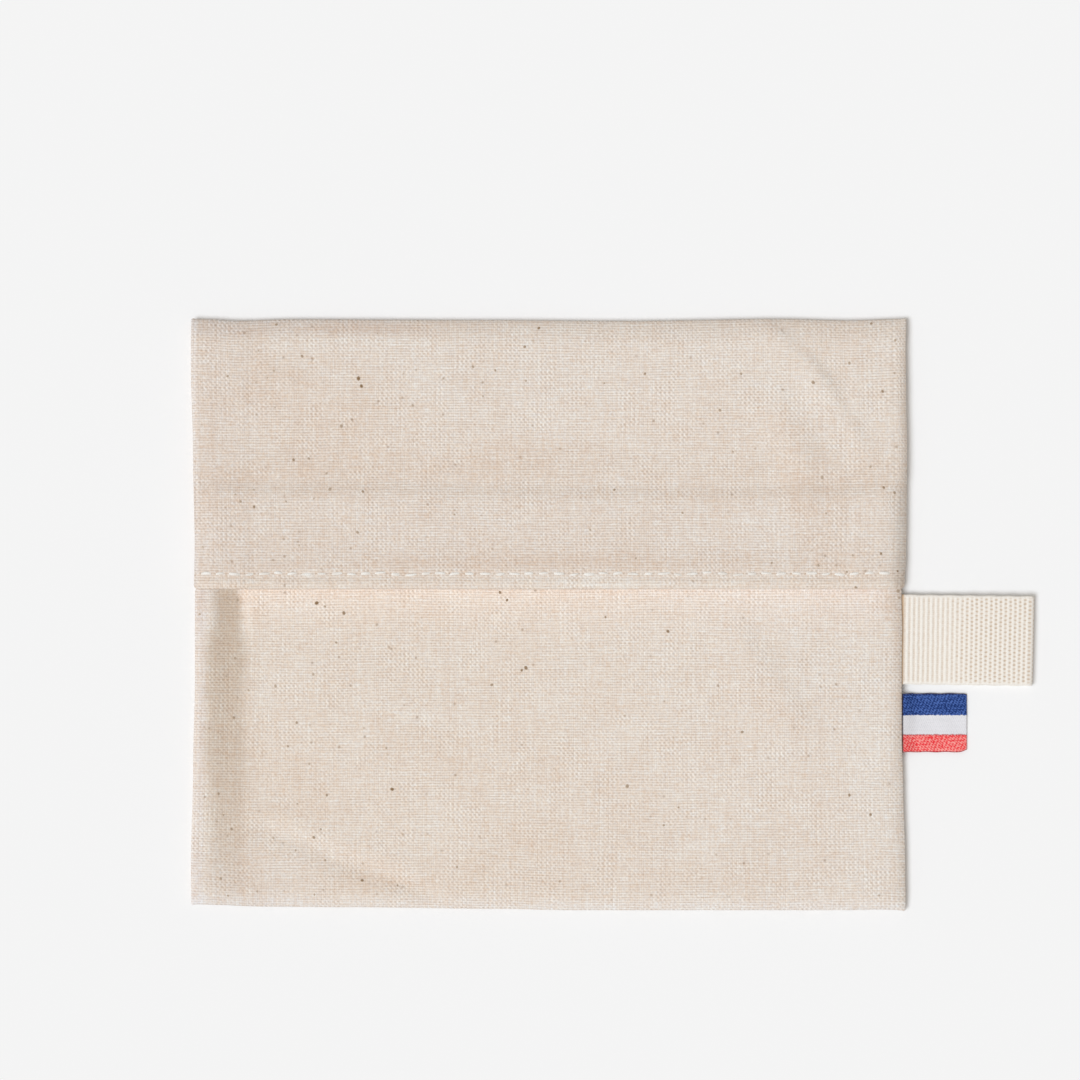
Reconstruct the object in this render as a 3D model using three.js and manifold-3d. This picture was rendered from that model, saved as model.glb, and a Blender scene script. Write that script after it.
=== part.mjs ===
// Cotton soap pouch, lying flat on its back.
// Millimetres. X runs across the pouch towards its two labels, Y from the lower fold to the upper
// fold and Z up. The origin is at the middle of the back, on the surface that the pouch lies on.
// One strip of calico is folded like an envelope: the flap comes down from the upper fold over the
// lower panel, which comes up from the lower fold, and both are sewn to the back along the sides.

import * as THREE from "three";
import { mergeVertices } from "three/addons/utils/BufferGeometryUtils.js";
import Module from "manifold-3d";

const wasm = await Module();
wasm.setup();

// Driving dimensions of the pouch
const WIDTH = 121.6; // between the side seams
const HEIGHT = 100.4; // between the two folds
const CLOTH = 1.0; // one layer of cloth
const AIR = 0.5; // between the back and the layer over it
const TUCK_AIR = 0.35; // between the flap and the panel tucked under it
const HEM_LINE = 4.35; // the flap's hemmed edge
const STITCH_LINE = 6.75; // its topstitching
const HEM_DEPTH = 5.2; // how far the hem's folded cloth thickens the flap
const PANEL_END = 21.75; // the lower panel's own edge, hidden under the flap
const ALLOWANCE = 9; // seam allowance, turned inside along each side
const SEAM_HEIGHT = 1.9; // the pressed side seam, back and panel together
const LABEL_BULK = 0.7; // how much the labels thicken the right-hand seam
const MOUTH_INSET = 3; // from each side to where the flap is free
const HALF_WIDTH = WIDTH / 2;
const HALF_HEIGHT = HEIGHT / 2;
const TWO_LAYERS = 2 * CLOTH + AIR;

// Driving dimensions of the two labels, each a piece of tape folded in half
const TAPE = 1.0; // one layer
const FOLD_AIR = 0.3; // between its two layers
const TONGUE = 1.0; // the two ends pressed together inside the seam
const TONGUE_DEPTH = 3.6; // how far they reach into it
const FREE_ROOT = 1.5; // where the layers part, measured from the seam's edge
const SEAT_CLEARANCE = 0.3;
const SEAT_LEVEL = (SEAM_HEIGHT + LABEL_BULK) / 2;
const LABELS = [
  // middle and edge: where the label leaves the seam; turn in degrees; lean: how much further its
  // upper corner reaches than its lower one
  { name: "tape_label", middle: -4.25, edge: 60.45, width: 15.3, reach: 22.2, turn: -0.7, lean: 0.3 },
  { name: "tricolour_ribbon", middle: -18.4, edge: 60.45, width: 10.1, reach: 10.8, turn: 0, lean: 0 },
];

// How far each edge strays outward from the plain rectangle, at places along it
const LEFT_EDGE = [
  { at: -49, out: 0.06 },
  { at: -43, out: 0.06 },
  { at: -26, out: -0.3 },
  { at: -11, out: -0.6 },
  { at: 9, out: -0.6 },
  { at: 28, out: -0.3 },
  { at: 43, out: 0.06 },
  { at: 50, out: 0 },
];
const RIGHT_EDGE = [
  { at: -50, out: -0.05 },
  { at: -42, out: -0.1 },
  { at: -30, out: -0.36 },
  { at: 2, out: -0.34 },
  { at: 13, out: 0.06 },
  { at: 37, out: 0.06 },
  { at: 45, out: -0.1 },
  { at: 50, out: 0 },
];
const UPPER_EDGE = [
  { at: -60, out: 0.1 },
  { at: -53, out: -0.1 },
  { at: -44, out: 0.15 },
  { at: -10, out: 0 },
  { at: 13, out: -0.15 },
  { at: 39, out: 0.2 },
  { at: 51, out: -0.05 },
  { at: 60, out: 0.2 },
];
const LOWER_EDGE = [
  { at: -61, out: -0.9 },
  { at: -47, out: -0.5 },
  { at: -34, out: -0.4 },
  { at: -8, out: -0.13 },
  { at: 3, out: 0.1 },
  { at: 51, out: 0.1 },
  { at: 57, out: 0 },
  { at: 61, out: 0.15 },
];
const EDGE_REACH = 25; // how far in from an edge its straying is felt
const GRID_STEP = 3.6; // the widest step of the skin's grid
const POCKET_STEP = 7; // and of the spaces inside

// Soft creases in the upper skin: a ridge where rise is positive, a trough where it is negative
const FLAP_CREASES = [
  { x0: 40, y0: 47, x1: 52, y1: 32, half: 2.2, rise: 0.3 },
  { x0: 37, y0: 36, x1: 43, y1: 27, half: 4.5, rise: 0.3 },
  { x0: 43, y0: 27, x1: 46, y1: 11, half: 4.5, rise: 0.22 },
];
const PANEL_CREASES = [
  { x0: -52, y0: -36, x1: -22, y1: -47.5, half: 2.2, rise: -0.25 },
  { x0: -50, y0: -32.5, x1: -22, y1: -43, half: 3, rise: 0.25 },
];

// The hollow along the left side of the lower panel: it starts below the hem, its places are
// measured in from that side, and lowerShare is what is left of its depth at the lower fold
const HOLLOW = { crest: 2.3, floor: 7.6, foot: 8.3, shoulder: 9.8, depth: 0.6, start: 1.5, lowerShare: 0.45 };

// The flap's hem: thicker by swell as deep as HEM_DEPTH, with a channel along the stitching and a
// rounded edge
const HEM = { swell: 0.3, runOut: 1.6, channel: 0.22, channelHalf: 0.5, edgeRadius: 0.7 };

// The flap sinks from the panel's end towards the back over this stretch, less so at the seams
const SINK = { before: 1, after: 4.5, heldUp: 0.7 };

// Where the two labels thicken the right-hand seam: it swells and sinks again between these places
const BULK = { from: -29, full: -22, fullTo: 5, to: 12 };

const { smoothstep, lerp, degToRad } = THREE.MathUtils;

// Reads a table of { at, out } rows at one place, with a smooth step from row to row
function strays(rows, place) {
  const next = rows.findIndex((row) => row.at > place);
  if (next === 0) return rows[0].out;
  if (next < 0) return rows[rows.length - 1].out;
  const [a, b] = [rows[next - 1], rows[next]];
  return lerp(a.out, b.out, smoothstep(place, a.at, b.at));
}

// Moves a point of the plain rectangle to where the uneven outline takes it
function onCloth(s, t) {
  const near = (inward) => 1 - smoothstep(inward, 0, EDGE_REACH);
  const right = near(HALF_WIDTH - s) * strays(RIGHT_EDGE, t);
  const left = near(HALF_WIDTH + s) * strays(LEFT_EDGE, t);
  const upper = near(HALF_HEIGHT - t) * strays(UPPER_EDGE, s);
  const lower = near(HALF_HEIGHT + t) * strays(LOWER_EDGE, s);
  return [s + right - left, t + upper - lower];
}

function creaseHeight(creases, s, t) {
  let height = 0;
  for (const { x0, y0, x1, y1, half, rise } of creases) {
    const [alongX, alongY] = [x1 - x0, y1 - y0];
    const length = Math.hypot(alongX, alongY);
    const along = ((s - x0) * alongX + (t - y0) * alongY) / length;
    const aside = ((s - x0) * alongY - (t - y0) * alongX) / length;
    const past = Math.max(0, -along, along - length);
    height += rise * Math.exp(-((aside / half) ** 2) - (past / (2 * half)) ** 2);
  }
  return height;
}

// The slow unevenness of cloth that lies under its own weight: crossed waves and a slanted one
const RIPPLE = { rise: 0.07, lengthX: 9, lengthY: 11, slantedRise: 0.05, slant: 1.7, slantedLength: 13 };

function ripple(s, t) {
  const crossed = Math.sin(s / RIPPLE.lengthX + 0.6) * Math.cos(t / RIPPLE.lengthY - 0.4);
  const slanted = Math.sin((s + RIPPLE.slant * t) / RIPPLE.slantedLength);
  return RIPPLE.rise * crossed + RIPPLE.slantedRise * slanted;
}

function hollowDepth(s, t) {
  const inward = HALF_WIDTH + s;
  const across =
    smoothstep(inward, HOLLOW.crest, HOLLOW.floor) * (1 - smoothstep(inward, HOLLOW.foot, HOLLOW.shoulder));
  const down = (HEM_LINE - t) / (HALF_HEIGHT + HEM_LINE);
  const start = smoothstep(HEM_LINE - t, 0, HOLLOW.start);
  return HOLLOW.depth * across * start * lerp(1, HOLLOW.lowerShare, down);
}

// 1 at the side seams and 0 from about the end of the allowance inward
function pinch(s) {
  return 1 - smoothstep(HALF_WIDTH - Math.abs(s), 0, ALLOWANCE - 1);
}

// Upper side of the lower panel, which goes on under the flap
function panelTop(s, t) {
  const bulk = smoothstep(t, BULK.from, BULK.full) * (1 - smoothstep(t, BULK.fullTo, BULK.to));
  const seam = SEAM_HEIGHT + (s > 0 ? LABEL_BULK * bulk : 0);
  return lerp(TWO_LAYERS, seam, pinch(s));
}

// Underside of the flap: over the panel it lies on it, and past the panel's end it sinks to the back
function flapUnder(s, t) {
  const sink = smoothstep(t, PANEL_END - SINK.before, PANEL_END + SINK.after);
  const drop = TWO_LAYERS + TUCK_AIR - (CLOTH + AIR) - SINK.heldUp * pinch(s);
  return panelTop(s, t) + TUCK_AIR - sink * drop;
}

function hemSwell(t) {
  const past = t - HEM_LINE;
  const swell = HEM.swell * (1 - smoothstep(past, HEM_DEPTH - HEM.runOut, HEM_DEPTH));
  const channel = HEM.channel * Math.exp(-(((t - STITCH_LINE) / HEM.channelHalf) ** 2));
  const edge = (CLOTH / 2) * (1 - fullness(past, 2 * HEM.edgeRadius));
  return swell - channel - edge;
}

function topSurface(s, t) {
  if (t < HEM_LINE) {
    const panel = panelTop(s, t) - hollowDepth(s, t);
    return panel + (1 - pinch(s)) * (creaseHeight(PANEL_CREASES, s, t) + ripple(s, t));
  }
  const flap = flapUnder(s, t) + CLOTH + hemSwell(t);
  return flap + (1 - pinch(s)) * (creaseHeight(FLAP_CREASES, s, t) + ripple(s, t));
}

// How full the section is this far in from an edge that is rounded to half its thickness
function fullness(inward, thickness) {
  const radius = thickness / 2;
  return Math.sqrt(Math.max(0, 1 - (1 - Math.min(inward / radius, 1)) ** 2));
}

// Height of the pouch's outer skin: side is 1 on the upper skin and -1 on the underside
function skinHeight(s, t, side) {
  const sideways = HALF_WIDTH - Math.abs(s);
  const endways = HALF_HEIGHT - Math.abs(t);
  const inward = Math.min(sideways, endways);
  const thickness = topSurface(s, t);
  const full = fullness(sideways, thickness) * fullness(endways, thickness);
  const half = thickness / 2;
  return side < 0 && inward >= half ? 0 : half + side * half * full;
}

// Grid lines through all the stops, with more between them so that none lie further apart than step
function gridLines(stops, step) {
  const lines = [];
  for (let i = 0; i < stops.length - 1; i++) {
    const parts = Math.ceil((stops[i + 1] - stops[i]) / step);
    for (let k = 0; k < parts; k++) lines.push(lerp(stops[i], stops[i + 1], k / parts));
  }
  lines.push(stops[stops.length - 1]);
  return lines;
}

function geometryFrom(points, triangles) {
  const geometry = new THREE.BufferGeometry();
  geometry.setAttribute("position", new THREE.Float32BufferAttribute(points.flat(), 3));
  geometry.setIndex(triangles);
  return geometry;
}

// Triangles that fill an outline of [x, y] points, wound anticlockwise
function filled(outline) {
  const corners = outline.map(([x, y]) => new THREE.Vector2(x, y));
  return THREE.ShapeUtils.triangulateShape(corners, []).map(([a, b, c]) => {
    const turns = THREE.ShapeUtils.area([corners[a], corners[b], corners[c]]) > 0;
    return turns ? [a, b, c] : [a, c, b];
  });
}

// Joins two loops of equal length with a band of triangles
function band(loopA, loopB) {
  const triangles = [];
  for (let i = 0; i < loopA.length; i++) {
    const k = (i + 1) % loopA.length;
    triangles.push(loopA[i], loopA[k], loopB[k], loopA[i], loopB[k], loopB[i]);
  }
  return triangles;
}

// The outer form of the lying pouch: an upper skin on a grid, a rounded rim and a flat underside
function outerGeometry() {
  const rim = [0, 0.1, 0.35, 0.75, 1.25, 2.1]; // the last is where the underside lies flat
  const fromLeft = [...rim, 4.5, HOLLOW.floor, HOLLOW.foot, HOLLOW.shoulder];
  const fromRight = [...rim, 4.5, 8];
  const columns = gridLines(
    [...fromLeft.map((x) => x - HALF_WIDTH), ...fromRight.map((x) => HALF_WIDTH - x).reverse()],
    GRID_STEP,
  );
  const hem = [-0.05, 0, 0.15, 0.6, 1.8, STITCH_LINE - HEM_LINE, 3, HEM_DEPTH - HEM.runOut, HEM_DEPTH];
  const panelEnd = [-SINK.before, 1.7, SINK.after];
  const rows = gridLines(
    [
      ...rim.map((y) => y - HALF_HEIGHT),
      ...hem.map((y) => HEM_LINE + y),
      ...panelEnd.map((y) => PANEL_END + y),
      ...rim.map((y) => HALF_HEIGHT - y).reverse(),
    ],
    GRID_STEP,
  );
  const [lastColumn, lastRow] = [columns.length - 1, rows.length - 1];
  const depth = (i, j) => Math.min(i, j, lastColumn - i, lastRow - j);
  const points = [];
  const triangles = [];
  const put = (s, t, side) => points.push([...onCloth(s, t), skinHeight(s, t, side)]) - 1;
  const upper = rows.map((t) => columns.map((s) => put(s, t, 1)));
  const under = rows.map((t, j) =>
    columns.map((s, i) => {
      if (depth(i, j) === 0) return upper[j][i];
      return depth(i, j) < rim.length ? put(s, t, -1) : -1;
    }),
  );
  for (let j = 0; j < lastRow; j++) {
    for (let i = 0; i < lastColumn; i++) {
      const corners = (grid) => [grid[j][i], grid[j][i + 1], grid[j + 1][i + 1], grid[j + 1][i]];
      const [a, b, c, d] = corners(upper);
      triangles.push(a, b, c, a, c, d);
      if (Math.min(depth(i, j), depth(i + 1, j + 1)) < rim.length - 1) {
        const [e, f, g, h] = corners(under);
        triangles.push(e, g, f, e, h, g);
      }
    }
  }
  const first = rim.length - 1;
  const [acrossEnd, upEnd] = [lastColumn - first, lastRow - first];
  const flat = [];
  for (let i = first; i < acrossEnd; i++) flat.push(under[first][i]);
  for (let j = first; j < upEnd; j++) flat.push(under[j][acrossEnd]);
  for (let i = acrossEnd; i > first; i--) flat.push(under[upEnd][i]);
  for (let j = upEnd; j > first; j--) flat.push(under[j][first]);
  for (const [a, b, c] of filled(flat.map((index) => points[index]))) {
    triangles.push(flat[a], flat[c], flat[b]);
  }
  return geometryFrom(points, triangles);
}

// A closed solid from like sections along X, each a list of [t, z] running anticlockwise
function loft(columns, sectionAt) {
  const sections = columns.map(sectionAt);
  const count = sections[0].length;
  const points = sections.flatMap((section, i) => section.map(([t, z]) => [...onCloth(columns[i], t), z]));
  const loops = sections.map((section, i) => section.map((point, k) => i * count + k));
  const triangles = [];
  for (let i = 0; i < loops.length - 1; i++) triangles.push(...band(loops[i], loops[i + 1]));
  const [first, last] = [loops[0], loops[loops.length - 1]];
  for (const [a, b, c] of filled(sections[0])) {
    triangles.push(first[c], first[b], first[a], last[a], last[b], last[c]);
  }
  return geometryFrom(points, triangles);
}

// The space inside: between the back and the panel, and past the panel's end under the flap
function pocketGeometry() {
  const half = HALF_WIDTH - ALLOWANCE;
  const end = HALF_HEIGHT - CLOTH - 0.1;
  const ceiling = gridLines([PANEL_END, PANEL_END + 1.7, PANEL_END + SINK.after, end - 0.4], POCKET_STEP);
  return loft(gridLines([-half, half], POCKET_STEP), (s) => [
    [-end, CLOTH + AIR / 2],
    [0.3 - end, CLOTH],
    [end - 0.3, CLOTH],
    [end, CLOTH + AIR / 2],
    ...ceiling.map((t) => [t, flapUnder(s, t)]).reverse(),
    [PANEL_END, CLOTH + AIR],
    [0.3 - end, CLOTH + AIR],
  ]);
}

// The mouth: between the flap and the panel, open at the hem and reaching the space inside
function mouthGeometry() {
  const half = HALF_WIDTH - MOUTH_INSET;
  const overlap = 0.4; // how far it runs into the pocket, a little under the pocket's ceiling
  const rows = [HEM_LINE - 2, BULK.fullTo, BULK.to, PANEL_END - SINK.before, PANEL_END + overlap];
  const [lip, under] = [0.06, 0.05];
  const ceilingAt = (s, t) => (t > PANEL_END ? flapUnder(s, t) - under : flapUnder(s, t));
  return loft(gridLines([-half, -half + 5, half - 5, half], POCKET_STEP), (s) => [
    ...rows.map((t) => [t, panelTop(s, t) + lip]),
    ...rows.map((t) => [t, ceilingAt(s, t)]).reverse(),
  ]);
}

function solidOf(geometry) {
  const bare = geometry.clone();
  for (const name of ["normal", "uv"]) bare.deleteAttribute(name);
  const merged = mergeVertices(bare, 1e-4);
  return new wasm.Manifold(
    new wasm.Mesh({
      numProp: 3,
      vertProperties: new Float32Array(merged.attributes.position.array),
      triVerts: new Uint32Array(merged.index.array),
    }),
  );
}

function geometryOf(solid) {
  const { vertProperties, triVerts, numProp } = solid.getMesh();
  const positions = [];
  for (let i = 0; i < vertProperties.length; i += numProp) {
    positions.push(vertProperties[i], vertProperties[i + 1], vertProperties[i + 2]);
  }
  const geometry = new THREE.BufferGeometry();
  geometry.setAttribute("position", new THREE.Float32BufferAttribute(positions, 3));
  geometry.setIndex([...triVerts]);
  geometry.computeVertexNormals();
  return geometry;
}

// Where a label stands: its root on the seam's edge, at half the seam's height
function labelPlace({ edge, middle, turn }) {
  return new THREE.Matrix4()
    .makeRotationZ(degToRad(turn))
    .setPosition(edge, middle, SEAT_LEVEL);
}

// The seat for a label's ends inside the side seam
function seatGeometry(label) {
  const depth = TONGUE_DEPTH + SEAT_CLEARANCE;
  const outside = 3;
  const seat = new THREE.BoxGeometry(
    depth + outside,
    label.width + 2 * SEAT_CLEARANCE,
    TONGUE + 2 * SEAT_CLEARANCE,
  );
  seat.translate((outside - depth) / 2, 0, 0);
  return seat.applyMatrix4(labelPlace(label));
}

function pouchGeometry() {
  let pouch = solidOf(outerGeometry());
  for (const hollow of [pocketGeometry(), mouthGeometry(), ...LABELS.map(seatGeometry)]) {
    pouch = pouch.subtract(solidOf(hollow));
  }
  return geometryOf(pouch);
}

// A tape folded in half, seen from its side edge: pressed ends, two layers a little apart, and the fold
function labelGeometry({ width, reach, lean }) {
  const half = TAPE + FOLD_AIR / 2;
  const foldCentre = reach - half;
  const outline = new THREE.Shape();
  outline.moveTo(-TONGUE_DEPTH, -TONGUE / 2);
  outline.lineTo(SEAT_CLEARANCE, -TONGUE / 2);
  outline.lineTo(FREE_ROOT, -half);
  outline.lineTo(foldCentre, -half);
  outline.absarc(foldCentre, 0, half, -Math.PI / 2, Math.PI / 2, false);
  outline.lineTo(FREE_ROOT, half);
  outline.lineTo(SEAT_CLEARANCE, TONGUE / 2);
  outline.lineTo(-TONGUE_DEPTH, TONGUE / 2);
  const slit = new THREE.Path();
  slit.moveTo(FREE_ROOT, 0);
  slit.lineTo(FREE_ROOT + 0.8, FOLD_AIR / 2);
  slit.lineTo(foldCentre, FOLD_AIR / 2);
  slit.absarc(foldCentre, 0, FOLD_AIR / 2, Math.PI / 2, -Math.PI / 2, true);
  slit.lineTo(FREE_ROOT + 0.8, -FOLD_AIR / 2);
  outline.holes.push(slit);
  const label = new THREE.ExtrudeGeometry(outline, { depth: width, bevelEnabled: false, curveSegments: 8 });
  label.translate(0, 0, -width / 2);
  label.rotateX(Math.PI / 2);
  const { position } = label.attributes;
  for (let i = 0; i < position.count; i++) {
    const [x, y] = [position.getX(i), position.getY(i)];
    position.setX(i, x + (lean * y * Math.max(0, x)) / (width * reach));
  }
  return label;
}

const MATERIALS = {
  pouch_cloth: { color: 0xe0d3c7, roughness: 0.92, metalness: 0 },
  tape_label: { color: 0xe9e0d5, roughness: 0.9, metalness: 0 },
  tricolour_ribbon: { color: 0xe0dee3, roughness: 0.6, metalness: 0 },
};

function namedMesh(name, geometry) {
  const mesh = new THREE.Mesh(geometry, new THREE.MeshStandardMaterial(MATERIALS[name]));
  mesh.name = name;
  return mesh;
}

const pouch = new THREE.Group();
pouch.add(namedMesh("pouch_cloth", pouchGeometry()));
for (const label of LABELS) {
  const mesh = namedMesh(label.name, labelGeometry(label));
  mesh.applyMatrix4(labelPlace(label));
  pouch.add(mesh);
}

export default pouch;
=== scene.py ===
import math

import bpy
import numpy as np
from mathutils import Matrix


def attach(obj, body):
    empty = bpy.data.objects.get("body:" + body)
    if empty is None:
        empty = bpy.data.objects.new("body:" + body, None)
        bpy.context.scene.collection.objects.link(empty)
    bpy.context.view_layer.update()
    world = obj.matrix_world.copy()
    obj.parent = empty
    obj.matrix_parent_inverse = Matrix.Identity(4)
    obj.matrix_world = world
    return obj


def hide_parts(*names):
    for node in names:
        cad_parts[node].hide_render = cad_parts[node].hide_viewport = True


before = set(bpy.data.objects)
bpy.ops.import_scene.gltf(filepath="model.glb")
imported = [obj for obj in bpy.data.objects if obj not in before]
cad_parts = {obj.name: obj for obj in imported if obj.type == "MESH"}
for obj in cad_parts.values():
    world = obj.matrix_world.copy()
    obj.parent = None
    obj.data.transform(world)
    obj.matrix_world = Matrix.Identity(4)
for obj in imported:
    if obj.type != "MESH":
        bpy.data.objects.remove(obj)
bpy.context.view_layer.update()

# A cotton soap pouch that lies flat on its back, seen from straight above. Lengths are in millimetres
# and become metres only where a mesh, the camera or a light is made. X runs across the pouch towards
# its labels, Y from the lower fold to the upper fold, Z up. A place on the cloth is given by s, across,
# and t, along, on a plain rectangle, which on_cloth then moves to the pouch's uneven outline.

MM = 0.001

# The pouch
WIDTH = 121.6
HEIGHT = 100.4
HALF_WIDTH = WIDTH / 2
HALF_HEIGHT = HEIGHT / 2
CLOTH = 0.4  # how thick one layer of calico is
HEM_LINE = 4.35  # the flap's hemmed edge
STITCH_LINE = 7.0
STITCH_START = 2.2  # from the left-hand side to the first stitch
STITCH_PITCH = 2.513
STITCH_SHOWN = 1.66
PANEL_END = 21.75  # the lower panel's own hemmed edge, under the flap
HEM_DEPTH = 5.2
ALLOWANCE = 9.0
PINCH_WIDTH = 5  # how far in from a side seam the cloth is pressed down by it
TWO_LAYERS = 2.5  # top of the lower panel away from the seams
SEAM_HEIGHT = 2.2  # and at them
LABEL_BULK = 0.2  # how much the labels raise the right-hand seam
LABEL_BULK_SPAN = (-29, -22, 5, 12)  # where that begins, is full, falls and ends
FLAP_OVER_PANEL = 1.35  # from the panel's upper side to the flap's
BACK_LEVEL = 0.215  # middle of the back's thickness

# How far each edge strays outward from the plain rectangle: (place along it, outward)
LEFT_EDGE = [
    (-49, 0.06), (-43, 0.06), (-26, -0.3), (-11, -0.6), (9, -0.6), (28, -0.3), (43, 0.06), (50, 0),
]
RIGHT_EDGE = [
    (-50, -0.1), (-42, -0.18), (-30, -0.5), (-20, -0.78), (-8, -0.8), (-2, -0.72), (3.4, -0.85),
    (5.2, -0.42), (10, -0.08), (15, 0.05), (28, 0.1), (37, -0.05), (45, -0.15), (50, 0),
]
UPPER_EDGE = [
    (-61, 0.1), (-59, 0.1), (-53, -0.2), (-44, 0.05), (-10, -0.1), (13, -0.25), (39, 0.1),
    (51, -0.15), (60, 0.1),
]
LOWER_EDGE = [
    (-61, -0.9), (-47, -0.5), (-34, -0.4), (-8, -0.13), (3, 0.1), (51, 0.1), (57, 0), (61, 0.15),
]
EDGE_REACH = 25  # how far in from an edge its straying is felt

# Soft creases: (x and y of the first end, x and y of the second, width of the left side, width of the
# right side as seen from the first end, rise). A ridge has a positive rise, a trough a negative one.
FLAP_CREASES = [
    (38.1, 48.3, 46.0, 40.9, 0.9, 3.6, 0.3),
    (45.9, 40.9, 51.8, 31.5, 0.9, 3.2, 0.3),
    (39, 34, 43, 27, 3.0, 3.5, 0.3),
    (43, 27, 44, 19, 2.6, 3.5, 0.2),
]
PANEL_CREASES = [
    (-46.5, -37.2, -22, -46.7, 1.3, 1.9, -0.38),
    (-48, -33.4, -24, -42.3, 1.6, 2.2, 0.14),
    (-36, -42.3, -25, -46.2, 1.2, 1.6, -0.22),
    (32.3, -4, 42.3, -17.5, 2.4, 4.5, 0.32),
]
CREASE_RUN_OUT = 3.5  # beyond both ends

# Painted light and shade, partly the cloth's own uneven tone: (x, y, half the width, half the height,
# how much)
FLAP_PAINTED_SHADES = [
    (-62, 15, 12, 16, -0.08), (-58, 42, 8, 12, -0.05), (-47.5, 39.5, 5, 6, -0.05),
    (-32, 31.3, 8, 7, -0.04), (-40.7, 25.3, 9, 3, -0.05), (-5.6, 27, 12, 3.5, -0.05),
    (-52.7, 23, 6, 2, -0.05), (45, 24, 6, 4, -0.04), (-12, 40.7, 4, 5, -0.02),
    (-20, 8.6, 24, 1.6, -0.08), (28, 8.4, 22, 1.4, -0.06), (47, 10.5, 5, 4, -0.05),
    (-22.8, 42, 8, 6, 0.025), (3.3, 41.9, 12, 8, 0.02), (-20, 25, 36, 3.5, -0.03),
    (22, 24, 25, 3.5, -0.02), (38.7, 15.8, 7, 3, 0.03), (-11, 15.8, 7, 3, 0.015),
    (-5, 14, 60, 7, -0.035), (-45, 34, 7, 7, -0.06), (-49, 45, 1.6, 6, -0.04),
    (-33, 36, 6, 5, -0.04), (-20, 33, 9, 5, -0.025), (17, 33, 2.5, 5, -0.04), (34, 32, 7, 3, -0.04),
    (40.5, 31, 3, 3, -0.07), (54.5, 23.5, 4.5, 2.5, -0.09), (-13, 24, 6, 2, -0.04),
    (-37, 20.7, 5, 1.5, -0.05), (42, 18.5, 6, 1.5, -0.04), (45, 14.5, 2.5, 2.5, -0.05),
    (-47, 7.5, 5, 1.5, -0.04), (1, 8.5, 8, 1.5, -0.03), (53, 6.5, 6, 1.5, -0.035),
    (43, 37, 4, 4, 0.03), (-28, 13, 36, 7, -0.02), (42, 20, 14, 5, -0.025), (42, 24, 2, 5, -0.03),
    (57, 47, 4, 3, 0.03), (-56, 36, 4, 4, -0.025), (-32, 48.5, 12, 1.1, -0.15),
    (-32, 46.7, 12, 0.6, 0.06), (8.7, 9.4, 14, 1.1, -0.045), (-53, 48.8, 8, 1, -0.06),
    (17, 48.3, 24, 1.2, 0.035), (8.7, 5.4, 14, 1.2, 0.07), (-48, 17, 3, 1.5, -0.03),
    (-48.5, 21.6, 3, 0.8, 0.04), (11.3, 15, 1.2, 5, 0.035), (35, 16, 4, 1.5, 0.03),
    (-22, 23.5, 6, 1.5, -0.025), (-47, 9.3, 6, 1, 0.025), (18, 19.5, 12, 0.8, -0.025),
    (-52.5, 9, 1.5, 3, -0.03), (-57.5, 30, 2, 6, -0.02), (36, 46, 4, 3, -0.03),
]
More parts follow.
